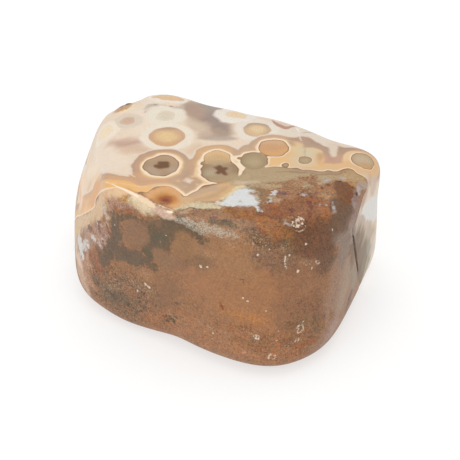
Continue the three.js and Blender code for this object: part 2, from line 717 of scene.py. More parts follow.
# Places that draw the bands out without being orbs themselves: each spreads the outer bands.
BAND_PULLS = (
    (178, 181, -0.6), (197, 184, -0.6), (184, 186.6, -0.6), (193, 176, -0.9), (247, 149, -0.55),
)

# The edge of the brown mass, from the left end to the right one, and on round the hidden sides.
SHORE_SEEN = (
    (82, 215), (90, 211), (94.8, 206), (95.8, 199.5), (99, 194.2), (104, 190.6), (110, 188.8), (116, 187.4),
    (121, 187.6), (128, 189.6), (133, 191.6), (137, 192.6), (141, 191.6), (144.5, 192.6), (147.5, 192.4),
    (150.5, 189.4), (155, 187), (160, 186), (166, 185.8), (171, 186.6), (176, 189.2), (180.6, 193),
    (184, 196.4), (188, 195.6), (193, 192.6), (198, 190.2), (201.5, 187), (206, 185), (212, 184.1),
    (217, 183.6), (224, 180), (233, 177.5), (240, 175.6), (245.5, 168.4), (252, 166.5), (259, 167.6),
    (269.4, 167), (275, 166.6), (281, 167), (290, 168), (297, 168), (303, 169.9), (309, 169.6),
    (316, 170.9), (323, 171.4), (328, 170.4), (336, 171.6), (341, 170), (348, 168.2), (353, 170),
    (357, 173.4), (361, 175.2), (366, 178.6), (367.6, 183.5), (366.5, 190), (362.5, 199), (358.5, 214),
    (355.5, 226), (354.4, 238), (355, 250), (356.5, 263), (359, 281),
)
SHORE_HIDDEN = (
    (6, -31), (28, -30), (52, -30), (78, -24), (97, -25), (118, -23), (137, -16), (152, -19), (165, -8),
)

# Dark cores: the eye's, and the star's blobs on their arms.
CORES = (
    ((156.6, 166, 0.55), (160, 166.2, 0.85), (165.6, 165.8, 0.75)),
    ((160.6, 163, 0.55), (165.8, 163.4, 0.7)),
    ((221.6, 170.4, 0.72), (215.9, 167.2, 0.36)),
    ((221.6, 170.4, 0.6), (219.3, 166.2, 0.42)),
    ((221.6, 170.4, 0.72), (225.4, 168.3, 0.46)),
    ((221.6, 170.4, 0.6), (225.4, 174.2, 0.4)),
    ((221.6, 170.4, 0.6), (217.8, 172.9, 0.42)),
)
HIDDEN_CORES = (
    ((39, -17, 0.9), (41, -17.5, 0.8)),
    ((138, -4, 1), (140.5, -3, 0.8)),
    ((60, -16, 0.5), (61.5, -17, 0.4)),
)

# How wide the cream, golden and tan bands are, in millimetres, at places along them.
BAND_WIDTHS = (
    (163, 150, 0.65, 0.2, 1.3), (148, 155, 0.6, 0.25, 1.4), (138, 166, 0.5, 0.2, 1.6),
    (147, 179, 0.8, 0.2, 1.5), (163, 179, 0.95, 0.2, 1.4), (178, 178, 0.9, 0.3, 1.4),
    (187, 166, 0.75, 0.25, 1.5), (180, 154, 0.7, 0.3, 1.3), (218, 147, 0.5, 0, 1.6),
    (204, 152, 0.6, 0, 1.6), (198, 161, 0.7, 0.2, 1.1), (197, 172, 0.55, 0.75, 0.9),
    (204, 183, 0.45, 0.4, 0.9), (230, 149, 0.55, 0, 1.5), (235, 154, 0.6, 0, 1.3), (241, 164, 0.6, 0.5, 1),
    (243, 171, 0.6, 0.2, 0.8), (246, 150, 0.55, 0, 1.5), (257, 146, 0.6, 0, 1.4), (262, 138, 0.6, 0, 1.2),
    (275, 136, 0.6, 0, 1.1), (288, 140, 0.65, 0, 1.2), (292, 149, 0.5, 0.6, 1.2), (262, 154, 0.5, 0.5, 1.1),
    (266, 164, 0.15, 0.8, 1), (272, 161, 0.4, 1.6, 1.2), (283, 161, 0.4, 1.6, 1.2),
    (296, 151, 0.2, 2.3, 1.3), (294, 144, 0.4, 1, 1.3), (305, 147, 0, 3.5, 1.4), (307, 141, 0, 3.7, 1.4),
    (315, 150, 0, 3.4, 1.6), (319, 143, 0, 4.2, 1.9), (325, 148, 0.1, 3.3, 1.9), (320, 158, 0.2, 2.1, 1.4),
    (298, 164, 0.35, 2.1, 1.2), (320, 167, 0.35, 2, 1.3), (332, 166, 0.35, 2.1, 1.7),
    (345, 162, 0.3, 1.3, 1.5), (305, 154.6, 0, 3.3, 1.3), (297, 160, 0, 2.5, 1.2), (313, 160, 0, 2.5, 1.3),
    (305, 164, 0.05, 2.5, 1.3), (346, 152, 0.4, 1, 1.7), (360, 149, 0.22, 0.5, 1.7),
    (356, 169, 0.25, 2.1, 1.2), (371, 168, 0.1, 1.8, 1.2), (103, 187, 0.35, 1.8, 1.6),
    (95, 196, 0.35, 2.4, 1.6), (90, 208, 0.3, 2.4, 1.4), (82, 213, 0.3, 2.4, 1.4),
    (114, 185, 0.4, 1.9, 1.6), (122, 185, 0, 2.5, 1.8), (132, 187, 0, 2.7, 1.8), (142, 188, 0, 2.3, 1.7),
    (149, 186, 0.05, 1.2, 1.6), (157, 184, 0.12, 0.5, 1.4), (166, 183, 0.12, 0.5, 1.4),
    (175, 186, 0.2, 0.4, 1.4), (181, 190, 0.5, 0.1, 1.3), (187, 192, 0.7, 0, 1.3),
    (195, 188, 0.6, 0.1, 1.1),
)
HIDDEN_BAND_WIDTHS = (
    (38, -18, 0.5, 0.1, 1.4), (58, -20, 0.5, 0.9, 1.3), (92, -14, 0.5, 0.2, 1.3), (118, -18, 0.5, 1.4, 1.3),
    (138, -8, 0.5, 0.1, 1.4), (160, -8, 0.5, 1.2, 1.3),
)

# Where the bands fade out, at the right side, and where only their dark line does.
BAND_LOSSES = (
    ((373, 188, 1.6), (368, 203, 5), (366, 222, 8), (364, 250, 9), (366, 280, 9)),
    ((362.5, 198, 1.4), (358, 215, 3.5), (355, 235, 5), (356, 262, 5), (359, 284, 5)),
)
LINE_LOSSES = (
    ((80, 215, 2), (95, 204, 2), (104, 190, 2), (115, 187, 1.5)),
    ((152, 188, 1.2), (166, 185, 1.5), (178, 190, 1.2)),
    ((160, 181, 1.5), (185, 184, 1.5)),
    ((225, 181, 1.6), (243, 176, 1.2)),
    ((250, 168, 1), (266, 168, 1)),
    ((207, 155, 2.4), (218, 150, 2.4), (229, 155, 2.4)),
    ((305, 151, 2.6), (305, 164, 1.6)),
    ((309.4, 170, 0.4),),
    ((362, 169, 0.8), (371, 167, 1.2)),
    ((262, 153.4, 0.7), (268, 157, 0.8)),
)

# Peach at the left end, where the top turns down. Ground and bands share it.
LEFT_END = (
    Stain("#f3d9bd", [[(89, 148, 2), (87, 160, 2.6), (83, 178, 2.6), (82, 196, 2.4)]], 1.6, 0.2),
    Stain("#f3d2b4", [[(89.6, 152, 0.9), (91, 164, 1)]], 1.2, 0.2),
    Stain("#efc29a", [[(81, 172, 0.7), (80, 186, 0.8), (80.6, 198, 0.9)]], 0.9, 0.2),
    Stain("#f0dcc4", [[(97, 152, 1.2), (97, 168, 1.2)]], 1.6, 0.2),
    Stain("#f6dfc4", [[(88, 172, 1), (96, 170, 0.9)]], 1.4, 0.2),
    Stain("#f8d5af", [[(84.6, 176, 0.7), (86, 184, 0.8)]], 0.8, 0.2),
    Stain("#f3d0a7", [[(93, 180, 0.7), (101, 175.6, 0.6)]], 0.6, 0.2),
    Stain("#edc29a", [[(88, 190, 0.8), (91, 184, 0.5)]], 0.7, 0.2),
    Stain("#eab27f", [[(83.6, 199, 0.9), (84, 206, 0.6)]], 0.7, 0.2),
    Stain("#e3af7b", [[(90.4, 205, 0.5), (94, 192, 0.6), (99, 185, 0.7)]], 0.6, 0.2),
    Stain("#f0bf8a", [[(84, 211, 0.7), (90, 208, 0.5)]], 0.5, 0.2),
)

# What lies between the bands and halos, on the pale side of the edge.
GROUND = (
    Stain("#ecdac6", [[(98, 150, 3), (112, 165, 3)], [(146, 100, 3), (150, 126, 4)]], 2),
    Stain("#dcc0a6", [[(128, 150, 1.5), (146, 150, 1)], [(176, 147.6, 1), (150, 147.4, 1.2)]], 1),
    Stain("#dfc4a9", [[(196, 148, 1.6), (190, 152, 1)]], 1.2),
    Stain("#cdae9c", [[(112, 143, 0.6), (124, 143.6, 1.5), (138, 142, 1.2)]], 1.4, 0.2),
    Stain("#c6a592", [[(122, 143.4, 0.4), (129, 144.8, 0.6), (137, 142, 0.5)]], 1, 0.2),
    Stain("#d8bda6", [[(132, 147, 0.8), (144, 149.5, 0.4)]], 0.8, 0.2),
    Stain("#e5d7c6", [[(286, 133, 2.5), (320, 138, 2.5)]], 1.5),
    Stain("#e2cfb9", [[(333, 146, 1.6), (333, 154, 1.6)]], 1),
    # The clear chalcedony between the ghost orb and the white halo.
    Stain("#bca493", [
        [(192, 104, 2.2), (202, 110, 3.6), (211, 121, 4.2), (219, 131, 2.8)],
    ], 1.2, 0.2, wave=5),
    Stain("#bba391", [
        [(209, 134, 1.8), (203, 135.6, 0.8)], [(222, 134, 1.6), (229, 134.6, 0.6)],
    ], 0.9, 0.2),
    Stain("#b79d8c", [[(190, 108, 1.6), (200, 113, 2)]], 1, 0.2),
    Stain("#aa9d92", [[(205, 105.6, 1.4), (213, 108, 1.6), (213, 115, 1.2)]], 0.9, 0.1),
    Stain("#a6948a", [[(213, 115, 1.3), (216, 121, 1.5), (222, 126, 1)]], 1.3, 0.2, wave=4),
    Stain("#a39085", [[(219, 127, 1.2), (226, 130, 0.8)], [(206, 119, 1)]], 1.2, 0.2, wave=4),
    Stain("#d6c1aa", [[(191, 122, 0.9), (198, 126.4, 1.4), (205, 132, 1)]], 1.5, 0.2, wave=4),
    Stain("#cbb29f", [[(206, 134.6, 1)]], 0.9, 0.1),
    Stain("#bdab9c", [
        [(199, 138.2, 0.4), (210, 138.4, 0.6), (224, 138.6, 0.7), (231, 138.6, 0.6), (236, 139, 0.4)],
    ], 0.55, 0.1),
    Stain("#b19c8c", [[(219, 131, 1), (224, 133.6, 0.8)]], 0.9, 0.1),
    # Pale, then greenish grey parts of the right side, and a brown strip down it.
    Stain("#d2b39b", [[(370, 174, 0.8), (370, 182, 0.9)]], 0.7, 0.2),
    Stain("#d7bfb0", [[(374, 180, 1.2), (375, 188, 1.2)]], 0.8, 0.2),
    Stain("#c4a997", [[(366, 188, 1.2), (365, 196, 1.5), (363, 203, 1.3)]]),
    Stain("#d1b9a5", [[(372, 191, 1), (373, 196, 1)]]),
    Stain("#c3b09d", [[(358, 224, 2.2), (366, 219.6, 2)]], 0.9, 0.4),
    Stain("#d0bba5", [[(366, 227, 2.2), (371, 222, 1.8)]], 0.9, 0.4),
    Stain("#e4c6ac", [[(375, 219, 1.8), (376, 228, 1.6)]]),
    Stain("#c2af98", [[(368, 235, 2), (373, 236, 1.6)]], 0.9),
    Stain("#8a745c", [
        [(354.6, 232, 1), (355.4, 244, 1.4), (357, 256, 1.4), (358.6, 270, 1.3), (360, 282, 1.2)],
    ], 0.7),
    Stain("#8c7a63", [
        [(366, 248, 2.2), (366.6, 258, 2.6), (366, 267, 2.6), (364, 274, 2.6), (362, 280, 2.4),
         (360.6, 285, 2)],
    ], 1, 0.5),
    Stain("#897057", [
        [(359, 236, 1.8), (362, 246, 2.8), (361, 258, 3), (361, 272, 3), (360, 282, 2.6)],
    ], 1.4, 0.6),
    Stain("#7e634b", [[(358, 240, 1), (361, 251, 1.6)], [(361, 274, 1.4)]], 1.2, 0.6, wave=2.4),
    Stain("#93836a", [[(366, 259, 1.2), (366, 266, 1.2)]], 0.8, 0.5),
    Stain("#a99f90", [[(370.4, 244, 1.3), (370.4, 254, 1.6), (369, 264, 1.2)]], 0.9, 0.4),
    # Painted highlight: a light beige stripe along the right side's outline.
    Stain("#d7c4b2", [[(373, 238, 1.2), (373, 248, 1)]], 0.8, 0.4),
    Stain("#7d5530", [[(358.6, 264, 0.9), (359.6, 280, 1.1)]], 0.6, 0.4),
    # The sides that the photograph doesn't show.
    Stain("#c6ad98", [[(24, 6, 2.2), (30, -4, 2.6)], [(66, 4, 2), (72, -9, 2.4)]], 1.2, hidden=True),
    Stain("#b9a18e", [[(84, 15, 1.8), (82, 8, 1.4)], [(110, 16, 2), (112, 12, 1.6)]], 1, hidden=True),
    Stain("#c2a893", [[(122, -4, 2), (124, 4, 1.5)], [(146, 12, 2.2), (148, 5, 1.8)]], 1.1, hidden=True),
    Stain("#d4d2ce", [[(12, -16, 2.6), (20, -20, 2.2)], [(4, 2, 1.5)]], 0.9, hidden=True),
    *LEFT_END,
)

# The colours of the golden and the tan bands, which change along them.
GOLD = (
    Stain("#e9b97e", [[(116, 184, 2.5), (140, 187, 2.5)]], 1),
    Stain("#ecbd84", [[(136, 190, 1.2), (148, 189, 1.2)]]),
    Stain("#e3b085", [[(100, 186, 2), (92, 204, 3)]], 1.2),
    Stain("#e9c9a0", [[(197, 170, 1.5), (200, 182, 1.5)]], 1),
    Stain("#e5bd8b", [[(272, 161, 2), (286, 161, 2)]], 1),
    Stain("#dfc69e", [[(298, 150, 1.6), (312, 148, 2)]], 1.2),
    Stain("#d9c5a0", [[(299, 153, 0.8), (305, 150, 1.4), (312, 153, 0.9)]], 1),
    Stain("#d3c7ad", [[(303, 153, 0.5), (309, 153.6, 0.8)]]),
    Stain("#bba18b", [[(291, 142.6, 0.6), (293, 144.6, 0.3)]], 0.6),
    Stain("#dcc2a0", [[(296, 158, 1), (298, 164, 1.2), (309, 164, 1.2), (314, 158, 1)]], 0.9),
    Stain("#d6bb97", [[(303, 168, 0.6), (318, 168.6, 0.6), (334, 168.6, 0.6)]], 0.5),
    Stain("#cba57e", [[(320, 154, 0.5), (320.4, 163, 0.6)]], 0.7),
    Stain("#dfb88c", [[(330, 164, 1.4), (346, 163, 1.4)]], 1),
    Stain("#e6c49c", [[(344, 156, 1.4), (350, 152, 1)]], 0.9),
    Stain("#dfbd98", [[(154, 185.6, 0.6), (166, 183.8, 0.8), (176, 187, 0.6)]], 0.6),
    Stain("#dfb88d", [[(352, 167, 1.4), (362, 172, 2)]], 1),
    Stain("#d9b795", [[(366, 176, 1.6), (370, 184, 1.4)]], 1),
    *LEFT_END,
)
TAN = (
    Stain("#c4a187", [[(140, 160, 2.5), (163, 150, 2.5)], [(136, 172, 2.5)]], 1.2),
    Stain("#d2a988", [[(114, 178, 2), (150, 180, 2), (164, 181, 1.5)]], 1),
    Stain("#bfa38b", [[(186, 160, 2), (190, 172, 2)]], 1.2),
    Stain("#c5a88c", [[(176, 181, 1), (190, 188, 1.4)]], 1),
    Stain("#d4ae88", [[(200, 152, 2.5), (218, 145, 2.5), (230, 148, 1.6)]], 1.2),
    Stain("#cca88a", [[(195, 160, 1.2), (195, 180, 1.2)]], 1),
    Stain("#c8aa90", [[(240, 149, 1.6), (252, 143, 2)]], 1.2),
    Stain("#cfae92", [[(266, 136, 1.4), (284, 137, 1.4)]], 1),
    Stain("#b99d88", [[(292, 142, 1.6), (318, 143, 2), (326, 153, 2)]], 1),
    Stain("#c9a18b", [[(326, 159, 1.4), (342, 159, 1.4)]], 1),
    Stain("#b99b84", [[(342, 152, 1.6), (356, 147, 1.6), (368, 151, 1.6)]], 1),
    Stain("#dcae86", [[(98, 182, 2), (88, 196, 3), (84, 208, 3)]], 1.2),
    *LEFT_END,
)

# Shades within the orbs, which are spheres that are seen into.
ORB_SHADES = (
    Stain("#b89c86", [[(158, 127.6, 0.7), (174, 127.4, 0.7)]], 1.1, 0.1),
    Stain("#d5aa84", [[(153, 142.6, 0.6), (163, 145.4, 0.8), (178, 143.6, 0.6)]], 1, 0.1),
    Stain("#cfa68b", [[(149.4, 136.6, 0.5)], [(184.4, 137.6, 0.5)]], 0.8, 0.1),
    Stain("#bba08a", [[(246, 125, 0.6), (257, 121.6, 0.9), (268, 125, 0.6)]], 1.1, 0.1),
    Stain("#d9ba97", [[(247, 131, 0.7), (257, 135.4, 0.8)]], 0.9, 0.1),
    Stain("#dcb88a", [[(210, 153.6, 1), (218, 151.6, 1.2), (226, 154, 0.9)]], 1.3, 0.1),
    Stain("#cfae86", [[(208, 159, 0.6), (228, 159, 0.5)]], 0.8, 0.1),
    Stain("#c0a37e", [[(207, 161.6, 0.3), (218, 162.6, 0.5), (229, 161.6, 0.3)]], 0.8, 0.1),
    Stain("#b6a589", [[(210, 173, 1.2)], [(217, 163, 0.8)]], 1, 0.1),
    Stain("#bda380", [[(208, 162.6, 0.3), (218, 163.4, 0.5), (228, 162.6, 0.3)]], 0.8, 0.1),
    Stain("#b59d7c", [[(212, 181, 1), (224, 180, 1.2), (234, 177, 1)]], 1, 0.1),
    Stain("#b7a089", [[(151, 169, 0.9), (156, 173, 0.8)], [(173, 170, 1)]], 0.8, 0.1),
    Stain("#bb9c80", [[(152, 160, 0.6), (160, 157.6, 0.6), (170, 157.6, 0.8), (176, 163, 0.8)]], 0.8, 0.1),
    Stain("#b9a483", [[(254, 162, 1.2)]], 1, 0.1),
    Stain("#d9a877", [[(268, 153.6, 0.9), (279, 154, 1), (286, 150, 0.6)]], 1, 0.1),
    Stain("#c8976f", [[(273, 148, 0.12)]], 0.35, 0),
    Stain("#d3ae8a", [[(266, 142, 0.8), (280, 142, 0.8)]], 0.8, 0.1),
    Stain("#c9a379", [[(362, 166, 0.7), (370, 168, 0.7)]], 0.8, 0.1),
    Stain("#a9977f", [[(300, 157.6, 0.4), (308, 156.8, 0.4)]], 0.4, 0.1),
)

# The brown mass, from its widest shades up.
MASS = (
    Stain("#a77a5a", [[(205, 275, 6), (240, 290, 8), (285, 294, 7), (262, 312, 6)]], 4, 1, 0.3),
    Stain("#8f6f58", [[(96, 280, 4), (115, 292, 6), (142, 304, 5), (160, 312, 3)]], 2.5, 0.8, 1.35),
    Stain("#a07355", [[(160, 324, 3), (215, 338, 4), (262, 352, 5), (310, 344, 5)]], 2.5, 0.8, 0.9),
    Stain("#a67a5b", [[(180, 322, 3), (225, 342, 3), (246, 352, 2)]], 2, 0.8, 0.7),
    Stain("#a57d5d", [[(196, 250, 3), (225, 256, 3), (250, 262, 3)]], 2.5, 0.6, 0.35),
    Stain("#936f56", [[(184, 262, 2), (203, 262, 2)], [(170, 288, 2.4), (166, 300, 2)]], 1.6, 0.6, 0.35),
    Stain("#7d5a46", [[(296, 234, 3.4), (306, 246, 5.4), (316, 226, 5), (300, 262, 3)]], 2, 0.8, 1),
    Stain("#7f624a", [[(270, 246, 1.2), (278, 256, 1.4), (292, 260, 1.4)]], 1.2, 0.6, 0.9, 2.4),
    Stain("#7a5a48", [
        [(318, 250, 3), (326, 236, 3), (314, 266, 2.8)], [(300, 266, 1.6), (312, 274, 1.6)],
    ], 1.6, 0.6, 0.8),
    Stain("#82674f", [[(288, 240, 1.4), (291, 249, 1.2)]], 1.2, 0.6, 0.9, 2.4),
    Stain("#7b5f4d", [
        [(316, 264, 1.8), (304, 267, 1.8), (312, 273, 1.4)], [(331, 256, 1), (329, 268, 1.2)],
    ], 1.3, 0.5, 0.8),
    Stain("#836450", [[(266, 264, 1.2), (273, 268, 1)]], 1.4, 0.5, 0.6, 2.4),
    Stain("#9a7257", [[(300, 280, 4), (316, 292, 3), (290, 312, 4)]], 2, 0.8, 0.45),
    Stain("#916b53", [[(312, 306, 2.5), (318, 320, 3), (300, 326, 3)]], 1.6, 0.6, 0.8),
    # Painted sheen: lighter, greyer stains down the right front, where a broad soft reflection lies.
    Stain("#a1806a", [[(332, 316, 2.6), (336, 292, 3), (342, 268, 3)]], 1.6, 0.4, 0.4),
    Stain("#a68a73", [[(341, 302, 2), (345, 284, 2.6), (348, 268, 2)]], 1.4, 0.3, 0.3),
    Stain("#937f71", [[(343, 232, 2.2), (347, 244, 2.2), (342, 256, 2)]], 1.2, 0.4, 0.4),
    Stain("#83674f", [[(352, 236, 1), (353, 250, 1.6), (352, 262, 1.2)]], 1, 0.4, 0.4),
    Stain("#9e7a61", [[(318, 346, 2.6), (332, 330, 2)]], 1.2, 0.5, 0.6),
    # Painted sheen: greyer and lighter, where the reflection on the right front is strongest.
    Stain("#9a866c", [[(353, 272, 1.4), (353.6, 286, 1.6)]], 1, 0.4, 0.4),
    Stain("#74522c", [[(350, 298, 1.4), (347, 306, 1)]], 1, 0.5, 0.8, 2),
    Stain("#a98a7b", [[(334, 326, 1.6), (328, 336, 1.4)]], 1, 0.4, 0.5),
    Stain("#90705a", [[(258, 254, 1.4), (272, 260, 1.8), (286, 262, 1.6)]], 1.3, 0.5, 0.8, 2.4),
    Stain("#8f7055", [[(192, 261, 0.8), (205, 261, 0.7)]], 1.4, 0.5, 0.5, 2.4),
    # Low on the front: a warm glow, and dark and reddish streaks.
    Stain("#ab7b58", [[(221, 304, 0.8), (226, 312, 1.4), (244, 317, 1.8), (262, 321, 1.4)]], 1.4, 0.5, 0.5),
    Stain("#b37e54", [[(222, 311, 0.4), (238, 316, 0.7), (256, 320, 0.5)]], 0.8, 0.4, 0.5, 2),
    Stain("#96694c", [
        [(229, 327, 0.5), (248, 326, 0.6)], [(283, 342, 0.8), (300, 345, 1), (315, 340, 0.7)],
    ], 0.7, 0.5, 1, 2),
    Stain("#866a50", [[(300, 322, 1), (318, 325, 1.2)], [(288, 325, 0.5)]], 0.8, 0.5, 0.9, 2),
    Stain("#976f52", [
        [(234, 338, 0.8), (262, 342, 1.2)], [(288, 334, 0.8), (330, 318, 0.9)],
    ], 1, 0.6, 0.9, 2.4),
    Stain("#7f6a58", [
        [(99, 285, 1.1), (108, 293, 1.8), (121, 300, 1.6), (132, 306, 0.8)],
    ], 1.6, 0.6, 1.1, 2.4),
    Stain("#72604f", [[(110, 291, 0.5), (116, 297, 0.6)], [(128, 304, 0.3)]], 0.9, 0.5, 1, 2),
    Stain("#b48c72", [[(88, 263, 1.2), (84, 272, 1.6), (91, 283, 1.2)]], 0.9, 0.4, 0.7, 2.4),
    Stain("#c8a68d", [[(79, 256, 1.4), (79, 268, 1.5), (83, 280, 1.4), (87, 289, 1)]], 0.8, 0.3, 0.4, 2.4),
    Stain("#9a6a52", [[(90, 254, 0.8), (96, 263, 1.1), (99, 272, 0.7)]], 0.7, 0.4, 0.9, 2),
    # Mauve and tan at the left end.
    Stain("#b08e78", [[(86, 228, 1.6), (90, 240, 1.6), (100, 228, 1.6)]], 0.8, 0.4, 0.8, 2),
    Stain("#a88374", [[(98, 224, 1), (104, 236, 1.4), (104, 246, 1)]], 0.7, 0.4, 1, 2),
    Stain("#d8b793", [
        [(76, 222, 2.2), (88, 219, 1.4), (99, 208, 1.5), (101, 200, 1.3)],
    ], 0.8, 0.3, 0.3, 2.4),
    Stain("#ceb29c", [[(74, 232, 1.6), (77, 246, 1.2)]], 0.8, 0.3, 0.3, 2.4),
    Stain("#dcc0aa", [[(76, 234, 0.6)], [(76, 252, 0.8), (79, 260, 1), (82, 266, 0.6)]], 0.7, 0.3, 0.3, 2),
    Stain("#be9d88", [[(87, 250, 0.7), (87, 257, 0.7)], [(82, 231, 0.6)]], 0.6, 0.3, 0.4, 2),
    Stain("#7f6350", [[(98, 250, 0.7), (101, 254, 0.8), (100, 259, 0.7)]], 0.7, 0.3, 0.6, 2),
    Stain("#deb690", [
        [(100, 198, 1.2), (106, 193, 1.4), (114, 192, 1.6), (124, 193, 1.2)],
    ], 0.6, 0.2, 0.15, 2),
    Stain("#e4c29c", [[(110, 194.6, 1), (120, 194, 1)]], 0.6, 0.2, 0.1, 2),
    Stain("#d9b994", [
        [(98, 204, 0.8), (101.6, 211, 0.7), (97, 220, 0.6)], [(103, 199, 0.6)],
    ], 0.6, 0.2, 0.15, 2),
    Stain("#cfa580", [[(106, 200, 0.9), (113, 200.4, 0.9)]], 0.6, 0.3, 0.3, 2),
    Stain("#bd947a", [[(109, 208, 0.5), (113, 210, 0.4)]], 0.5, 0.3, 0.4, 2),
    Stain("#ae8976", [[(112, 205, 1.3), (124, 204.6, 1.5), (129, 206, 0.9)]], 0.6, 0.3, 0.8, 1.8),
    Stain("#c29560", [[(106.5, 203.4, 0.7)], [(120, 199.4, 0.4), (127, 198.6, 0.6)]], 0.5, 0.3, 0.6, 1.8),
    Stain("#d6bd9c", [[(133, 200, 0.7), (138, 205, 1.2), (146, 211, 0.9)]], 0.6, 0.3, 0.3, 1.8),
    Stain("#cbb49c", [
        [(104, 206, 0.8), (105, 211, 0.8), (107, 217, 0.5)], [(107.4, 226, 0.5)], [(102, 240, 0.3)],
    ], 0.5, 0.3, 0.5, 1.8),
    Stain("#d3ba98", [
        [(130, 201, 0.4), (136, 205.6, 0.6), (143, 210, 0.7), (151, 214.6, 0.5)],
    ], 0.7, 0.3, 0.4, 1.8),
    Stain("#e2cfae", [
        [(130, 197, 0.2), (137, 202, 0.5), (144, 206, 0.7), (150, 209, 0.4)],
    ], 0.7, 0.2, 0.2, 1.8),
    Stain("#a07253", [
        [(114, 211, 0.7), (128, 211, 0.8), (133, 213, 0.4)], [(143, 217, 0.5), (157, 219.6, 0.4)],
    ], 0.6, 0.4, 0.8, 1.8),
    # The rusty dome, honey and olive under the bands.
    Stain("#dba878", [[(152, 194, 1.6), (166, 194, 3), (180, 202, 2.4)]], 0.8, 0.1, 0),
    Stain("#d3af87", [
        [(186, 200, 1.2), (198, 197, 1.8), (212, 194, 2.4), (226, 190, 2.4), (236, 184, 1.6)],
    ], 0.7, 0.1, 0),
    Stain("#d8b083", [[(228, 188, 1.2), (236, 184, 1.2), (222, 194, 0.8)]], 0.8, 0.1, 0),
    Stain("#c5a78b", [[(192, 195, 0.6), (202, 191, 0.7), (214, 188, 0.7)]], 0.7, 0.1, 0),
    Stain("#c4a27e", [[(196, 200.6, 0.4), (214, 196, 0.5), (226, 187, 0.5)]], 0.6, 0.1, 0),
    Stain("#c99157", [[(157, 198.6, 0.6), (172, 199.6, 1.1), (165, 198, 1.8)]], 1, 0.2, 0.1, 2),
    Stain("#b3723f", [[(162, 199, 0.9), (168.4, 199.6, 1.1)]], 0.9, 0.15, 0.2, 2),
    Stain("#985a33", [[(164, 199.2, 0.8), (166.4, 199.8, 0.9)]], 0.7, 0.15, 0.4, 2),
    Stain("#83492b", [[(165, 199.4, 0.4)]], 0.6, 0.1, 0.4, 2),
    Stain("#966a58", [[(162, 203.6, 0.35), (167, 204, 0.4)]], 0.5, 0.1, 0.3, 2),
    Stain("#b59f7e", [
        [(240, 180, 2.2), (262, 176, 2.6), (292, 174.6, 1.8), (330, 177, 1.6)],
    ], 0.7, 0.2, 0.15),
    Stain("#b59d7c", [[(248, 168, 1.6), (262, 168.6, 1.6), (290, 171, 1.2)]], 0.6, 0.1, 0.05),
    Stain("#b69a76", [[(335, 176, 1.4), (350, 176, 2), (360, 179, 1.6)]], 0.8, 0.3, 0.4),
    Stain("#ad9278", [[(292, 171.4, 0.5), (340, 173.6, 0.5)]], 0.5, 0.1, 0.1),
    Stain("#c9b297", [[(238, 183, 0.6), (255, 183, 0.7)]], 0.6, 0.2, 0.1),
    # Reddish clouds, umber and rust right of the quartz.
    Stain("#a17a5d", [[(280, 188, 1.4), (300, 194, 2.4), (322, 194, 2.4)]], 0.9, 0.5, 0.9, 2.4),
    Stain("#926549", [[(276, 206, 2.4), (296, 208, 3.2), (312, 206, 3), (326, 208, 2)]], 0.9, 0.5, 1, 2.4),
    Stain("#986b48", [
        [(232, 212, 1), (250, 216, 1.6), (268, 222, 2.6), (280, 232, 1.8)],
    ], 0.8, 0.5, 0.9, 2.4),
    Stain("#8f6a51", [[(256, 232, 1.6), (270, 240, 1.6)]], 1, 0.6, 1, 2.4),
    Stain("#9c785d", [
        [(186, 212, 0.8), (204, 213, 1.1), (222, 214, 1.1)], [(238, 224, 1.4), (246, 228, 1)],
    ], 0.6, 0.4, 0.8, 2),
    Stain("#875b3e", [
        [(233, 214, 0.4), (238, 217, 0.3)], [(258, 215, 0.6), (276, 217, 1.2), (291, 216, 0.8)],
        [(261, 227, 0.5), (262, 235, 0.6)],
    ], 0.7, 0.5, 1, 2),
    Stain("#79604f", [[(338, 206, 2), (346, 212, 2.6), (340, 224, 2.2)]], 1, 0.5, 0.5, 2.4),
    Stain("#997e72", [[(355, 198, 1.2), (357, 208, 1.4), (353, 222, 1.2)]], 0.8, 0.4, 0.5, 2),
    Stain("#b39c8d", [[(360, 186, 1), (364, 184, 0.8)]], 0.6, 0.3, 0.4, 2),
    # Painted sheen: a light grey strip beside the dark band at the right.
    Stain("#a08d80", [[(352, 226, 0.9), (352, 240, 0.7)]], 0.6, 0.3, 0.4, 2),
    # The sides that the photograph doesn't show.
    Stain("#7b634f", [
        [(60, -46, 5), (95, -40, 4), (120, -36, 3)], [(-150, -60, 5), (-90, -66, 6)],
    ], 1.5, 1, 0.8, hidden=True),
    Stain("#98735a", [
        [(78, -40, 2.4)], [(105, -38, 2), (112, -42, 1.6)], [(150, -36, 2.6)],
    ], 0.8, 0.6, 0.3, hidden=True),
    Stain("#a2673f", [
        [(20, -38, 1.8), (36, -36, 2)], [(128, -28, 1.4), (140, -26, 1.8)],
    ], 0.9, 0.8, 1, hidden=True),
    Stain("#d5b78f", [
        [(84, -28, 1.2), (104, -29, 1.3)], [(168, -12, 1.4), (178, -6, 1)],
    ], 0.8, 0.5, 0.2, hidden=True),
)

# The coats, by the attribute that holds them.
COATS = {
    "mass": Coat("#9f7658", 0.6, FRONT, MASS),
    "ground": Coat("#e9d5bf", 0.0, TOP, GROUND),
    "gold": Coat("#e3bb8c", 0.0, TOP, GOLD),
    "tan": Coat("#c6a48a", 0.0, TOP, TAN),
}

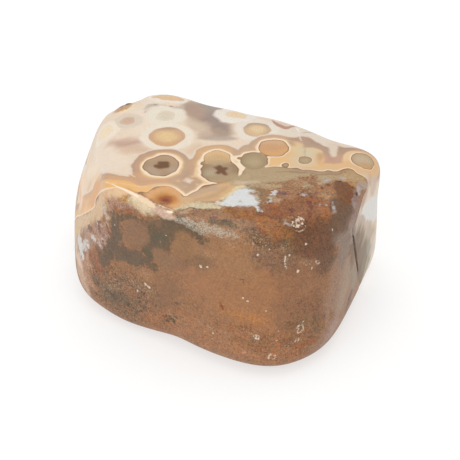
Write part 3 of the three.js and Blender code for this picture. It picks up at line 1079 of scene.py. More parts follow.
# The patches of the lowest layer, each later one over the earlier ones.
UNDER_PATCHES = (
    # Mossy grey round brown islands, at the upper left of the front.
    Patch("#766353", [
        [(115, 218, 1.2), (116, 230, 1.5), (115, 242, 1.4), (107, 254, 1.6), (104, 263, 1)],
        [(118, 252, 2), (133, 257.6, 1.9), (146, 259, 1.4)],
    ], 0.55, 0.8),
    Patch("#74614e", [
        [(118, 217, 0.9), (130, 217, 0.7), (143, 222.6, 0.6), (152, 227, 1), (163, 227.4, 1.4)],
        [(148, 247, 2.4), (158, 238, 2.6), (168, 229, 2.4), (180, 226, 1.8), (193, 227.6, 0.8)],
        [(160, 246, 1.6), (168, 248, 0.9)], [(147, 262, 0.9), (154, 267.6, 0.7)],
        [(192, 233, 1), (201, 238, 1.1), (205, 240, 0.5)],
    ], 0.55, 0.8, 0.5),
    # Quartz, mauve and rust at the left end.
    Patch("#d9d1cb", [
        [(78, 238, 0.7), (80.4, 243, 1.2), (81.4, 249, 1.2), (83, 256, 0.6)],
        [(86, 240, 0.5), (88, 246, 0.6)],
    ], 0.4, 0.5, 0.3),
    Patch("#cdc6c2", [
        [(87, 241.4, 0.6), (84.4, 245, 0.9), (83, 250, 0.6)], [(92, 236.6, 0.5), (96, 240, 0.3)],
        [(80.6, 254, 0.4), (81.4, 258, 0.3)],
    ], 0.2, 0.5, 0.4),
    Patch("#c3b1aa", [
        [(98, 240, 0.3), (101, 246, 0.25)], [(97, 223, 0.3), (101, 226, 0.25)], [(106, 236, 0.2)],
        [(103.4, 210, 0.35), (104.6, 213, 0.25)], [(109, 229, 0.2)],
    ], 0.15, 0.5),
    # The pale strip, the quartz and its inclusion, under the honey.
    Patch("#d1c1a0", [
        [(176, 209.6, 0.35), (186, 206.4, 0.7), (198, 204.8, 0.85), (209, 205.8, 1), (218, 207.4, 0.6)],
    ], 0.4, 0.35, 0.3),
    Patch("#d9cdbb", [
        [(212, 203.6, 0.3), (218, 202.6, 0.6), (226, 204.4, 0.6), (234, 204.6, 0.5)],
    ], 0.3, 0.35, 0.2),
    Patch("#dccaa0", [
        [(222, 199, 0.45), (232, 193, 0.5), (238, 188, 0.6), (246, 185.6, 0.4)],
    ], 0.35, 0.2, 0.1),
    Patch("#9c7059", [[(236, 207.4, 0.3), (250, 207.6, 0.4)]], 0.3, 0.4, 0.8),
    # Rust under the quartz and on to the right.
    Patch("#a06b40", [
        [(226, 210.6, 0.5), (231, 210, 0.6)], [(240, 213, 0.4), (245, 215.4, 0.8), (249, 217, 0.5)],
        [(258, 219.6, 0.5), (264, 220.6, 0.8), (271, 221.6, 0.6)],
    ], 0.4, 0.6, 0.9),
    Patch("#a07a5d", [
        [(280, 186.4, 0.7), (288, 184.4, 1), (296, 186.6, 0.6)], [(303, 178.4, 0.7), (312, 178, 0.9)],
        [(316, 189, 0.7), (320, 187, 0.4)],
    ], 0.4, 0.6, 1),
    Patch("#b39b7b", [
        [(246, 185, 0.5), (258, 185.6, 0.7), (270, 186.6, 0.9), (279, 185.6, 0.7)],
    ], 0.5, 0.5, 0.4),
    Patch("#805c45", [
        [(338, 184, 0.9), (344, 188, 1.9), (345, 197, 1.6)], [(349, 187, 0.9), (350.4, 196, 0.8)],
    ], 0.3, 0.4),
    Patch("#a38f86", [[(353.6, 201, 0.5), (354.4, 206, 0.4)], [(334, 212, 0.4)]], 0.4, 0.3, 0.5),
    Patch("#74624f", [
        [(211, 221, 0.5), (218, 222.6, 0.8), (226, 222.6, 1), (232, 226, 0.7)],
    ], 0.35, 0.6, 1),
    Patch("#806551", [
        [(250, 238, 0.4), (262, 245, 0.8), (268, 243, 0.6)], [(247, 230, 0.5), (260, 235, 0.7)],
    ], 0.5, 0.9, 1),
    # White at the right end.
    Patch("#e2ded8", [
        [(364.4, 210, 0.9), (370, 208, 2.3), (377, 207, 2.6)], [(367, 214, 0.8), (375, 214, 1.6)],
    ], 0.4, 0.3, 0.05),
    # Quartz on the sides that the photograph doesn't show.
    Patch("#d0cbc5", [
        [(44, -37, 1.5), (52, -35, 1.1)], [(158, -24, 1.6), (166, -20, 1.2)],
    ], 0.15, 0.3, 0.1, hidden=True),
)

# The patches over those.
UPPER_PATCHES = (
    # Mossy grey round brown islands, at the upper left of the front.
    Patch("#94725a", [
        [(130, 228, 1.6), (138, 233, 2.6), (137, 240, 1.5)], [(128, 237, 1.2), (133, 246, 0.8)],
    ], 0.6, 0.2, 0.3),
    Patch("#9a7556", [[(183, 240, 1.9), (184, 248, 2.4)], [(177, 250, 1)]], 0.65, 0.2, 0.3),
    Patch("#95735a", [[(160, 256, 1.8), (166, 262, 2)], [(176, 262, 1.2)]], 0.7, 0.2, 0.3),
    Patch("#866b55", [[(150, 221, 0.5), (158, 224, 0.7)]], 0.7, 0.3, 0.4),
    Patch("#69604f", [
        [(154, 239, 0.5), (162, 236, 0.8)], [(146, 250, 0.5), (150, 256, 0.5)],
    ], 0.7, 0.3, 0.4),
    # Quartz, mauve and rust at the left end.
    Patch("#86604f", [
        [(88, 226, 0.45), (92, 231, 0.5)], [(99, 222, 0.35), (100, 231, 0.4)],
        [(107, 225, 0.35), (109, 233, 0.4)], [(96, 235, 0.3)], [(103, 242, 0.35)],
    ], 0.25, 0.6, 1),
    Patch("#7c5d4b", [
        [(140.6, 220.4, 0.3)], [(121, 216, 0.3), (125, 216.4, 0.25)], [(99, 247, 0.2)],
    ], 0.2, 0.4, 0.8),
    Patch("#98644a", [
        [(116, 210, 0.3)], [(128, 211.4, 0.4)], [(140.6, 216, 0.3), (143, 218.4, 0.25)],
    ], 0.3, 0.5, 0.8),
    # The pale strip, the quartz and its inclusion, under the honey.
    Patch("#d9dad8", [
        [(223, 203.6, 0.4), (232, 200, 1.3), (241, 194.4, 1.5), (246, 190, 0.8)],
        [(226, 205, 0.3), (238, 203.6, 0.7), (250, 203.4, 0.9), (256, 205.4, 0.5)],
        [(248, 199, 1.5), (254, 201.4, 0.9)], [(250.4, 190.6, 0.5), (253, 192.4, 0.2)],
    ], 0.5, 0.25, 0.05),
    Patch("#cdc9c5", [
        [(255.6, 206.4, 0.5), (258, 209.4, 0.5), (262, 211, 0.25)], [(266, 202.6, 0.3), (271, 201.6, 0.3)],
        [(273.6, 194.6, 0.4), (274.6, 191.6, 0.35)],
    ], 0.15, 0.45, 0.2),
    Patch("#ad9077", [[(273, 197.6, 0.7), (279, 200, 0.6), (274, 202, 0.4)]], 0.4, 0.5),
    Patch("#bdae98", [
        [(255.6, 196, 0.5), (258, 200, 0.4)], [(270, 197, 0.3), (272, 200, 0.2)],
    ], 0.3, 0.4, 0.3),
    Patch("#ad9b80", [[(250, 186.6, 0.3), (254, 188.4, 0.5), (257.6, 192, 0.4)]], 0.3, 0.4, 0.4),
    Patch("#94775a", [
        [(258, 188.6, 0.4), (261.6, 190, 0.8), (264.6, 196, 0.8), (266, 200.6, 0.4)],
    ], 0.25, 0.45),
    Patch("#8f6a52", [[(262, 204.6, 0.4), (264.4, 207.6, 0.4)]], 0.2, 0.4, 0.8),
    Patch("#66503f", [
        [(259.4, 205, 0.05), (260.4, 209, 0.1), (259.6, 212.2, 0.16), (262, 211.8, 0.1)],
        [(268.4, 200.4, 0.16)], [(268, 203.4, 0.1), (272, 202.6, 0.1)], [(278, 192, 0.2)],
        [(246.6, 185.8, 0.08), (249, 187, 0.05)], [(271.4, 217, 0.22)],
    ], 0.2, 0.3, 0.3),
    Patch("#7f5d5c", [
        [(278.6, 192.8, 0.35), (286, 193.8, 0.35)], [(215.6, 217.4, 0.4)],
        [(308, 193.8, 0.2), (317, 193, 0.2)],
    ], 0.25, 0.3, 0.7),
    Patch("#b3977b", [[(172, 211.8, 0.3), (180, 211.4, 0.5), (188, 210.4, 0.4)]], 0.3, 0.5),
    # Rust under the quartz and on to the right.
    Patch("#96603a", [
        [(245, 215.4, 0.45)], [(273, 208, 0.8), (276, 211, 0.7)], [(269.6, 222.6, 0.35)],
    ], 0.4, 0.5, 0.9),
    Patch("#a06e4e", [
        [(316, 209, 0.6), (323, 210, 1), (328, 212, 0.7)], [(272, 228, 0.6), (278, 233, 0.8)],
    ], 0.35, 0.4),
    Patch("#a5764f", [
        [(236, 214.6, 0.2), (243, 211, 0.2)], [(252, 212.6, 0.25)], [(286, 219, 0.3), (292, 217, 0.3)],
        [(262, 228, 0.3), (270, 231.6, 0.3)], [(256, 225, 0.25)],
    ], 0.3, 0.5, 0.9),
    Patch("#b39a7b", [
        [(306, 184.6, 0.7), (311, 185.4, 0.4)], [(297, 184, 0.4)], [(320, 183, 0.5), (333, 178.6, 0.6)],
    ], 0.35, 0.4, 0.5),
    Patch("#b08a64", [
        [(322, 195.4, 0.6), (326, 196.4, 0.6)], [(349, 180.6, 0.5), (354, 184.6, 0.6)],
    ], 0.3, 0.4),
    Patch("#7f5138", [
        [(321.6, 188.4, 0.3)], [(311.4, 196.4, 0.3), (309.6, 203, 0.35), (312, 210, 0.3), (309, 216, 0.3)],
        [(291, 207, 0.3), (293, 212, 0.35)], [(286, 201, 0.2)], [(304, 190.6, 0.16), (300, 195.6, 0.14)],
        [(318.6, 191.4, 0.2)], [(300, 220.4, 0.2)], [(327.6, 184.6, 0.25), (330, 185.6, 0.2)],
    ], 0.2, 0.5, 0.8),
    Patch("#8a5a45", [[(346, 182.6, 0.3), (351, 187.6, 0.3)], [(350.6, 193, 0.35), (351, 198, 0.3)]], 0.25),
    Patch("#614739", [
        [(336.6, 181, 0.25), (340, 181.6, 0.2)], [(352.6, 205.4, 0.1), (353.6, 208.6, 0.16)],
        [(357, 194.6, 0.25)], [(352.4, 187, 0.12)],
    ]),
    Patch("#b3a7a2", [
        [(324.6, 181, 0.4), (328, 180, 0.5)], [(340, 177.8, 0.2), (344, 178.6, 0.25)],
        [(357.6, 188, 0.5), (359.6, 193, 0.5)], [(332.6, 203, 0.2), (333.4, 208, 0.3)],
        [(301.6, 195.2, 0.2), (305.6, 194.4, 0.2)], [(286.4, 223.4, 0.25), (289.4, 225, 0.25)],
        [(320, 204.4, 0.14), (325, 204.2, 0.14)],
    ], 0.25, 0.35, 0.4),
    # Small dark spots and brown strips of the front's lower part.
    Patch("#655748", [
        [(167, 317.4, 0.3), (172.6, 320, 0.45)], [(173, 302.6, 0.2), (177, 303.4, 0.1)],
        [(244.6, 281.5, 0.14)], [(166, 321, 0.2), (175, 317, 0.1)],
    ], 0.45, 0.9, 0.9),
    Patch("#8c5d3a", [[(220.8, 303.4, 0.16), (222.2, 307.6, 0.26)], [(290.4, 325.2, 0.2)]], 0.3, 0.3, 0.5),
    Patch("#5f4a38", [[(222.6, 308.6, 0.12)]], 0.2, 0.2, 0.5),
    Patch("#c98f78", [[(243, 352, 0.35), (247, 352.4, 0.2)]], 0.3, 0.4, 0.5),
    Patch("#8a6f5e", [[(350, 298, 0.5), (346, 306, 0.4)]], 0.4, 0.5, 1),
    # Dark spots at the right end.
    Patch("#8f7f74", [[(366.4, 218.6, 0.3)]], 0.2, 0.2, 0.2),
    Patch("#7d7c6e", [[(358, 235.6, 0.35), (359.6, 238, 0.3)]], 0.25, 0.2, 0.3),
)

# The patches that lie over the agate bands too.
OVER_PATCHES = (
    # Thin dark and light lines among the pale side's bands and halos.
    # The first three are grey lines below the back edge beside the chip. They are painted soft shade, and
    # at their right end partly the greyish edge of the clear chalcedony.
    Patch("#c6b9ad", [
        [(145.6, 109, 0.3), (150, 105.6, 0.7), (157, 105, 0.5)], [(173, 106.6, 0.3), (182, 107.6, 0.6)],
    ], 0.5, 0.1, 0),
    Patch("#a79f97", [[(152.4, 104.4, 0.2), (155.6, 105, 0.4)]], 0.3, 0.1, 0),
    # Painted shade: a soft shadow line along the back edge.
    Patch("#cdc0b2", [
        [(145.6, 112.2, 0.3), (150, 108.6, 0.1)],
        [(157.6, 105, 0.2), (168, 105.9, 0.12), (178, 106.4, 0.16)],
    ], 0.25, 0.1, 0),
    Patch("#a8555c", [[(169.8, 106.2, 0.16), (173.6, 106.1, 0.16)]], 0.2, 0, 0),
    Patch("#7f6d68", [[(216.6, 127.2, 0.1)]], 0.12, 0, 0),
    Patch("#bd9684", [
        [(272.4, 120.4, 0.35), (279, 125.6, 0.55), (286, 127.9, 0.6), (296, 126.6, 0.35)],
    ], 0.2, 0.1, 0),
    Patch("#d9c0ad", [[(280, 122.8, 0.3), (287, 125.2, 0.3)]], 0.3, 0.1, 0),
    Patch("#c6b7a6", [[(302, 132.9, 0.2), (308, 132.5, 0.25), (315, 132.9, 0.16)]], 0.25, 0.1, 0),
    Patch("#f4e9dc", [
        [(295.6, 126.6, 0.14), (298.8, 131.6, 0.2), (300.9, 141, 0.16)],
        [(300, 134, 0.1), (300.4, 128, 0.1)],
    ], 0.14, 0.1, 0),
    Patch("#cdb9a4", [[(326.4, 138.6, 0.1), (336, 143.4, 0.12)]], 0.2, 0, 0),
    Patch("#b39a80", [[(304.4, 147.6, 0.1), (304.4, 156, 0.14)]], 0.14, 0, 0),
    Patch("#e0d0b0", [
        [(300, 146.6, 0.02), (302, 154.6, 0.05)], [(307.4, 147, 0.02), (306.6, 154.6, 0.05)],
        [(312, 149, 0.05), (309.4, 155.4, 0.08)],
    ], 0.16, 0, 0),
    # The pale gap between two mauve bands, with light threads, and the white patch beside the eye.
    Patch("#dfceb9", [[(333, 145.6, 1), (333.6, 151, 0.75), (333.8, 155.6, 0.55)]], 0.35, 0.05, 0),
    Patch("#ecdfd0", [
        [(330, 146, 0.03), (330.8, 156, 0.06)], [(337.4, 148, 0.03), (336.8, 156, 0.06)],
    ], 0.2, 0, 0),
    Patch("#e2cab3", [[(184.6, 180.6, 0.3), (188.6, 178.8, 0.5), (190.4, 180.2, 0.3)]], 0.4, 0.1, 0),
    # Orange and light streaks in the golden band at the left.
    Patch("#d89f61", [
        [(113, 185.4, 0.1), (121, 187.2, 0.16), (129, 189.8, 0.3), (137, 191.8, 0.25)],
    ], 0.3, 0.1, 0),
    Patch("#f0cf9f", [
        [(112, 182.4, 0.1), (124, 184, 0.14), (138, 186.6, 0.14), (147, 186.4, 0.08)],
    ], 0.25, 0.1, 0),
    # The chip at the back left: a dark sliver of painted shade in its hollow, brown below it, and a pale
    # edge.
    Patch("#caa583", [
        [(116, 112, 0.6), (120, 110.6, 1.2), (124.6, 108.6, 1.4), (129.4, 106.6, 1)],
    ], 0.3, 0.2, 0.2),
    # Painted shade: the dark sliver where the chip's step lies in shadow.
    Patch("#7b7168", [[(123.6, 107.6, 0.6), (128.4, 105.9, 0.95), (132.6, 104.2, 0.6)]], 0.25, 0.1, 0.2),
    Patch("#f3dcb8", [[(120, 114.6, 0.2), (127.4, 111.2, 0.24), (135, 106, 0.2)]], 0.15, 0.1, 0.1),
    # Thin cream and brown lines in the tan band left of the eye.
    Patch("#f0d6bb", [
        [(105, 174.4, 0.1), (112, 172.6, 0.12), (120, 171.2, 0.12), (127.6, 171.6, 0.12)],
        [(128.6, 163, 0.08), (128.6, 171, 0.12), (131.6, 175.4, 0.16), (135, 177.2, 0.12)],
    ], 0.12, 0, 0),
    Patch("#c49c78", [
        [(105, 177.8, 0.1), (112, 175.8, 0.1), (119, 174.2, 0.1), (127, 174.6, 0.1), (132.6, 177.2, 0.08)],
    ], 0.1, 0, 0),
)

# The patches by their layer, from the lowest up.
PATCHES = {
    Layer.UNDER: UNDER_PATCHES,
    Layer.UPPER: UPPER_PATCHES,
    Layer.OVER: OVER_PATCHES,
}

# The cream seam that crosses the bands at the crisp edge and opens into a pinkish facet.
SEAM = (
    ((104, 181.4, 0.03), (112, 184.2, 0.1), (120, 187.8, 0.18), (128, 191.4, 0.34), (136, 195.2, 0.52),
     (144, 199.8, 0.64), (150, 204, 0.55), (154, 207, 0.25)),
    ((149.6, 201.8, 0.06), (158, 204.8, 0.1), (165, 207.4, 0.1), (172.6, 210.6, 0.12)),
)
FACET = (
    ((151, 206.6, 0.3), (157, 210.4, 0.75), (164, 213.8, 0.95), (170, 216.6, 0.7), (175, 218.6, 0.25)),
)
SEAM_LIGHTS = (
    ((106, 182.2, 0.06), (118, 187, 0.12), (126.6, 190.2, 0.2), (138, 196.4, 0.22)),
    ((167.4, 211.4, 0.16), (171.5, 212.2, 0.22)),
)

# Scuffs that the tumbling never polished out: the frosted strip, and bruises and knocks.
FROST = (
    ((177, 220, 0.35), (186, 221.6, 0.85), (197, 225.8, 1.1), (208, 229.8, 1.1), (220, 232, 0.85),
     (231, 234.4, 0.6), (238, 236.6, 0.2)),
)
FAINT_FROST = (
    ((240, 236, 0.6), (256, 242, 1.4), (272, 248, 1.4), (284, 248, 1)),
    ((290, 261, 0.5), (300, 263, 0.7), (312, 263, 0.8)),
    ((104, 290, 0.8), (130, 282, 1), (150, 290, 0.8)),
    ((138, 268, 0.6), (148, 275, 0.7)),
    ((232, 244, 0.6),),
    ((202, 252, 0.4), (212, 254, 0.4)),
    ((296, 342, 0.8), (280, 350, 0.8)),
    ((255, 336, 0.8), (240, 328, 0.6)),
    ((198, 322, 0.4), (226, 334, 0.7)),
)
# Column, row and size of each bruise.
BRUISES = (
    (298.9, 224.5, 1.25), (298.4, 223, 0.7), (300.2, 328, 0.85), (271.4, 356.7, 0.7), (318, 263, 0.45),
    (257, 337, 0.5), (297, 340, 0.5),
)
# A worm-shaped scratch, then the knocks.
WORM = ((285.6, 256, 0.12), (284.8, 261, 0.14), (286.2, 268.4, 0.14))
KNOCKS = (
    (145.2, 284.4, 0.36), (149.4, 287.6, 0.32), (138, 291, 0.32), (115, 279, 0.2), (200.6, 266.6, 0.34),
    (207.6, 267.2, 0.25), (213, 333, 0.2), (212, 338.4, 0.16), (243, 298, 0.24), (247.6, 301.2, 0.2),
    (306, 244, 0.26), (289.3, 255.3, 0.22), (283, 247.6, 0.22), (269.5, 249.6, 0.2), (258, 255, 0.2),
    (298.3, 271.4, 0.32), (312, 268, 0.22), (316, 261.6, 0.2), (320.5, 268.6, 0.18), (276.5, 340.7, 0.2),
    (256, 338, 0.18), (303.4, 321.6, 0.2), (160, 242, 0.14), (166, 235.6, 0.16), (279, 330.6, 0.14),
    (265.8, 311, 0.12), (232, 275.2, 0.12), (115, 225.4, 0.22), (253, 243.6, 0.2), (332, 230, 0.2),
)

# Dark hairlines: the crack under the ledge at the right, and one below the pale strip. The
# threads run under the bands at the right.
LEDGE_CRACK = (
    (352.6, 228, 0.1), (353.2, 234, 0.24), (353.8, 239.7, 0.36), (354.6, 246, 0.34), (355.6, 254, 0.38),
    (356.9, 263.3, 0.34), (358, 271, 0.36), (359.6, 281, 0.4),
)
CRACKS = (
    LEDGE_CRACK,
    ((175, 211.8, 0.06), (186, 209.4, 0.1), (190, 207.4, 0.1), (197, 209, 0.08), (214, 210, 0.06)),
)
THREADS = (
    ((311, 172.8, 0.05), (317, 174.6, 0.09), (324, 174.8, 0.09), (330, 173.8, 0.08), (336, 175.2, 0.09),
     (342, 173, 0.07), (348, 172, 0.04)),
    ((276, 172, 0.04), (290, 171.6, 0.07), (300, 172.8, 0.07), (306, 172.6, 0.05)),
)

# The marks that the material colours by their depth.
MARKS = {
    "seam": Mark(SEAM),
    "facet": Mark(FACET, 0.1, 1.8, 7),
    "seam_light": Mark(SEAM_LIGHTS),
    "frost": Mark(FROST, 0.25, 1.8, 8),
    "faint_frost": Mark(FAINT_FROST, 0.5, 2.4, 9),
    "crack": Mark(CRACKS),
    "hairline": Mark(THREADS),
}

# Small pits, and the swellings and the pit of the chip at the back left.
PITS = (
    Pit((222, 307.5), 0.55, 0.3),
    Pit((171, 319.5), 0.8, 0.22),
    Pit((175, 303), 0.5, 0.15),
    Pit((348.5, 299), 0.9, 0.16),
    Pit((244.6, 281.6), 0.4, 0.16),
    Pit((290.5, 325.3), 0.4, 0.15),
    Pit((145, 285), 0.5, 0.14),
    Pit((298.9, 224.5), 0.8, 0.1),
    Pit((300.2, 328), 0.6, 0.12),
    Pit((298.3, 271.4), 0.45, 0.14),
    Pit((200.6, 266.6), 0.45, 0.12),
    Pit((271.4, 356.7), 0.5, 0.12),
    Pit((118.4, 110), 2.0, -0.5),
    Pit((127, 106), 1.9, -0.85),
    Pit((135.6, 102.6), 1.1, 0.4),
)


@dataclass(frozen=True)
class Pattern:
    """Works out, for points of the surface, the fields that the jasper's material reads.

    Blends, reaches, widths and warps are in millimetres, and the edge's limit is in softnesses.
    """

    placing: Placing
    curve_steps: int = 6
    band_blend: float = 0.13
    band_limits: tuple[float, float] = (-6.0, 60.0)
    width_reach: float = 2.2
    usual_widths: tuple[float, float, float] = (0.5, 0.3, 1.3)
    edge_limit: float = 12.0
    stain_seed: int = 100
    warp: float = 0.12
    warp_wave: float = 2.2
    bruise_seed: int = 5

    def strokes(self, strokes: Sequence[Stroke], hidden: bool = False) -> list[Array]:
        """Strokes taken from pixels, or from directions, to places on the stone.

        Args:
            strokes: Column, row and half-width of each place, or azimuth, elevation and half-width.
            hidden: Whether they are directions.

        Returns:
            x, y, z and half-width, one array for each stroke.
        """
        place = self.placing.turned if hidden else self.placing.seen
        sizes = [len(stroke) for stroke in strokes]
        table = place([point for stroke in strokes for point in stroke])
        return np.split(table, np.cumsum(sizes)[:-1])

    def shore(self) -> Array:
        """The closed edge of the mass: its points joined by a Catmull-Rom curve on the surface.

        Between the points b and c, with a before and d after them, the curve at the share t is
        b + ((c - a) t + (2a - 5b + 4c - d) t² + (3b - a - 3c + d) t³) / 2.

        Returns:
            The curve's places, in order.
        """
        knots = np.vstack([self.placing.seen(SHORE_SEEN), self.placing.turned(SHORE_HIDDEN)])
        before, after = np.roll(knots, 1, axis=0), np.roll(knots, -1, axis=0)
        beyond = np.roll(knots, -2, axis=0)
        linear_part = after - before
        square_part = 2.0 * before - 5.0 * knots + 4.0 * after - beyond
        cubic_part = 3.0 * knots - before - 3.0 * after + beyond
        pieces = [
            knots + 0.5 * (linear_part * t + square_part * t**2 + cubic_part * t**3)
            for t in np.linspace(0.0, 1.0, self.curve_steps, endpoint=False)
        ]
        curve = np.stack(pieces, axis=1).reshape(-1, 3)
        return self.placing.shape.surface(self.placing.shape.outward(curve))

    def beyond_shore(self, points: Array) -> Array:
        """Distance from the edge of the mass, in millimetres, below zero inside the mass.

        The side comes from an even-odd count of the edge's crossings, on the stone's directions
        drawn flat from below: (x, y) / (1 + z), which puts the top in the middle.

        Args:
            points: Places in millimetres.

        Returns:
            One distance for each point.
        """
        curve = self.shore()
        closed = np.vstack([curve, curve[:1]])
        distance = -depth_in(points, [np.hstack([closed, np.zeros((len(closed), 1))])])

        def flat(places: Array) -> Array:
            """The places' directions on the flat drawing, where the lowest lies far out."""
            directions = self.placing.shape.outward(places)
            return directions[:, :2] / (1.0001 + directions[:, 2:])

        drawn, ring = flat(points), flat(closed)
        odd = np.zeros(len(points), bool)
        for (x0, y0), (x1, y1) in zip(ring[:-1], ring[1:]):
            spans = (y0 > drawn[:, 1]) != (y1 > drawn[:, 1])
            crossing = x0 + (drawn[:, 1] - y0) * (x1 - x0) / ((y1 - y0) or 1e-12)
            odd ^= spans & (drawn[:, 0] < crossing)
        return np.where(odd, distance, -distance)

    def stained(
        self, points: Array, colour: Array, stains: Sequence[Stain], showing: Showing
    ) -> Array:
        """Stains laid over a coat's colours, one over the other.

        Args:
            points: Places in millimetres.
            colour: Linear red, green and blue, and the grain, one row for each point.
            stains: The stains, from the lowest up.
            showing: What is added to their colours.

        Returns:
            The same rows with the stains on them.
        """
        for number, stain in enumerate(stains):
            depth = depth_in(points, self.strokes(stain.strokes, stain.hidden))
            if stain.ragged:
                near = depth > -3.0 * stain.ragged - stain.soft
                seed = self.stain_seed + number
                depth[near] += stain.ragged * waves(points[near], stain.wave, seed)
            cover = smooth_step(-stain.soft, stain.soft, depth)[:, None]
            target = np.tile(np.array([*showing.under(stain.colour), 0.0]), (len(points), 1))
            target[:, 3] = colour[:, 3] if stain.grain is None else stain.grain
            colour += cover * (target - colour)
        return colour

    def patched(self, points: Array, layer: Layer) -> tuple[Array, Array]:
        """One layer of patches, where a later one hides an earlier one.

        Args:
            points: Places in millimetres.
            layer: Which layer.

        Returns:
            Linear red, green and blue, and the grain; then the depth inside the patches and how
            far their edge wanders, both as multiples of the patch's softness.
        """
        deepest = np.full(len(points), -FAR)
        paint = np.zeros((len(points), 4))
        edge = np.tile(np.array([-self.edge_limit, 0.0, 0.0]), (len(points), 1))
        showing = TOP if layer is Layer.OVER else FRONT
        for patch in PATCHES[layer]:
            depth = depth_in(points, self.strokes(patch.strokes, patch.hidden))
            own = (depth > 0.0) | (depth > deepest)
            deepest = np.maximum(depth, deepest)
            paint[own] = [*showing.under(patch.colour), patch.grain]
            edge[own, 0] = np.clip(depth[own] / patch.soft, -self.edge_limit, self.edge_limit)
            edge[own, 1] = patch.ragged / patch.soft
        return paint, edge

    def spread(self, points: Array) -> Array:
        """The bands' widths, spread from known places by the weight e^-(distance / reach)².

        Args:
            points: Places in millimetres.

        Returns:
            Widths of the cream, golden and tan bands, one row for each point.
        """
        seen, hidden = self.placing.seen(BAND_WIDTHS), self.placing.turned(HIDDEN_BAND_WIDTHS)
        total = np.full((len(points), 1), 1e-6)
        value = total * np.array(self.usual_widths)
        for control in np.vstack([seen, hidden]):
            squared = ((points - control[:3]) ** 2).sum(axis=1)
            weight = np.exp(-squared / self.width_reach**2)[:, None]
            total += weight
            value += weight * control[3:]
        return value / total

    def orb_fields(self, points: Array, shore: Array) -> dict[str, Array]:
        """The fields of the orbs, and the distance from the edge of the mass and banded orbs.

        The bands' distances from several hearts join by -s·log(sum of e^(-distance / s)), a soft
        minimum, so that bands of neighbours flow together.

        Args:
            points: Places in millimetres.
            shore: Their distance from the edge of the mass.

        Returns:
            The fields by attribute name.
        """

        def felt(distance: Array) -> Array:
            """The summand e^(-distance / s) of the soft minimum."""
            return np.exp(-np.clip(distance, *self.band_limits) / self.band_blend)

        total = felt(shore)
        nearest = np.full(len(points), FAR)
        share = np.ones(len(points))
        ends = np.zeros((2, len(points), 3))
        halo = np.zeros((len(points), 4))
        edges = {kind: np.full(len(points), FAR) for kind in OrbKind}
        for orb in ORBS:
            lobes = self.strokes([orb.lobes], orb.hidden)[0]
            distance = -depth_in(points, [row[None] for row in lobes])
            closer = distance < nearest
            nearest = np.minimum(nearest, distance)
            share[closer] = 1.0 + distance[closer] / lobes[0, 3]
            ends[0, closer] = TOP.under(orb.middle)
            ends[1, closer] = TOP.under(orb.rim)
            if orb.kind is OrbKind.BANDED:
                total += felt(distance)
            else:
                halo[distance < edges[orb.kind]] = [*TOP.under(orb.halo), orb.reach]
            edges[orb.kind] = np.minimum(edges[orb.kind], distance)
        for row in self.placing.seen(BAND_PULLS):
            total += felt(-depth_in(points, [row[None]]))
        ripe = smooth_step(0.3, 1.0, share)[:, None]
        inside = np.hstack([ends[0] + ripe * (ends[1] - ends[0]), np.zeros((len(points), 1))])
        return {
            "band_distance": -self.band_blend * np.log(total),
            "banded_orb": -edges[OrbKind.BANDED],
            "haloed_orb": edges[OrbKind.HALOED],
            "halo": halo,
            "orb_distance": nearest,
            "orb": self.stained(points, inside, ORB_SHADES, TOP),
        }

    def bruises(self) -> list[Array]:
        """Round bruises: each a handful of short arcs, of various sizes, round its middle.

        An arc's places are m + r (cos a s + sin a u), with the bruise's middle m, the directions
        s and u along the surface there, and a few angles a at one radius r.

        Returns:
            x, y, z and half-width, one array for each arc.
        """
        draw = np.random.default_rng(self.bruise_seed)
        shape = self.placing.shape
        arcs = []
        for column, row, size in BRUISES:
            middle = self.placing.seen([(column, row)])[0]
            out = shape.outward(middle)
            side = normalised(np.cross(out, np.array([0.0, 0.0, 1.0])))
            rise = np.cross(side, out)
            for start in np.linspace(0.0, 2.0 * math.pi, round(10 * size), endpoint=False):
                turns = start + np.linspace(0.0, draw.uniform(0.4, 0.9), 4)[:, None]
                reach = size * draw.uniform(0.4, 1.1)
                places = middle + reach * (np.cos(turns) * side + np.sin(turns) * rise)
                places = shape.surface(shape.outward(places))
                arcs.append(np.hstack([places, np.full((4, 1), draw.uniform(0.08, 0.17))]))
        return arcs

    def fields(self, points: Array) -> dict[str, Array]:
        """All fields, by attribute name.

        Args:
            points: Places of the surface in millimetres.

        Returns:
            One value, three or four for each point.
        """
        moves = [waves(points, self.warp_wave, seed) for seed in (1, 2, 3)]
        warped = points + self.warp * np.stack(moves, axis=1)
        fields = self.orb_fields(warped, self.beyond_shore(points))
        fields["band_widths"] = self.spread(points)
        losses = depth_in(points, self.strokes(BAND_LOSSES))
        line_losses = depth_in(points, self.strokes(LINE_LOSSES))
        strength = 1.0 - smooth_step(-1.5, 1.0, losses)
        fields["band_strength"] = strength
        fields["line_strength"] = strength * (1.0 - smooth_step(-0.6, 0.4, line_losses))
        for name, coat in COATS.items():
            base = np.array([*coat.showing.under(coat.colour), coat.grain])
            rows = np.tile(base, (len(points), 1))
            fields[name] = self.stained(warped, rows, coat.stains, coat.showing)
        for layer in Layer:
            paint, edge = self.patched(warped, layer)
            fields[f"{layer.value}_paint"] = paint
            fields[f"{layer.value}_edge"] = edge
        for name, mark in MARKS.items():
            fields[name] = depth_in(points, self.strokes(mark.strokes))
            if mark.ragged:
                fields[name] += mark.ragged * waves(points, mark.wave, mark.seed)
        cores = self.strokes(CORES) + self.strokes(HIDDEN_CORES, True)
        fields["core"] = depth_in(points, cores)
        knocks = [row[None] for row in self.placing.seen(KNOCKS)]
        fields["knock"] = depth_in(points, knocks + self.bruises() + self.strokes([WORM]))
        return fields


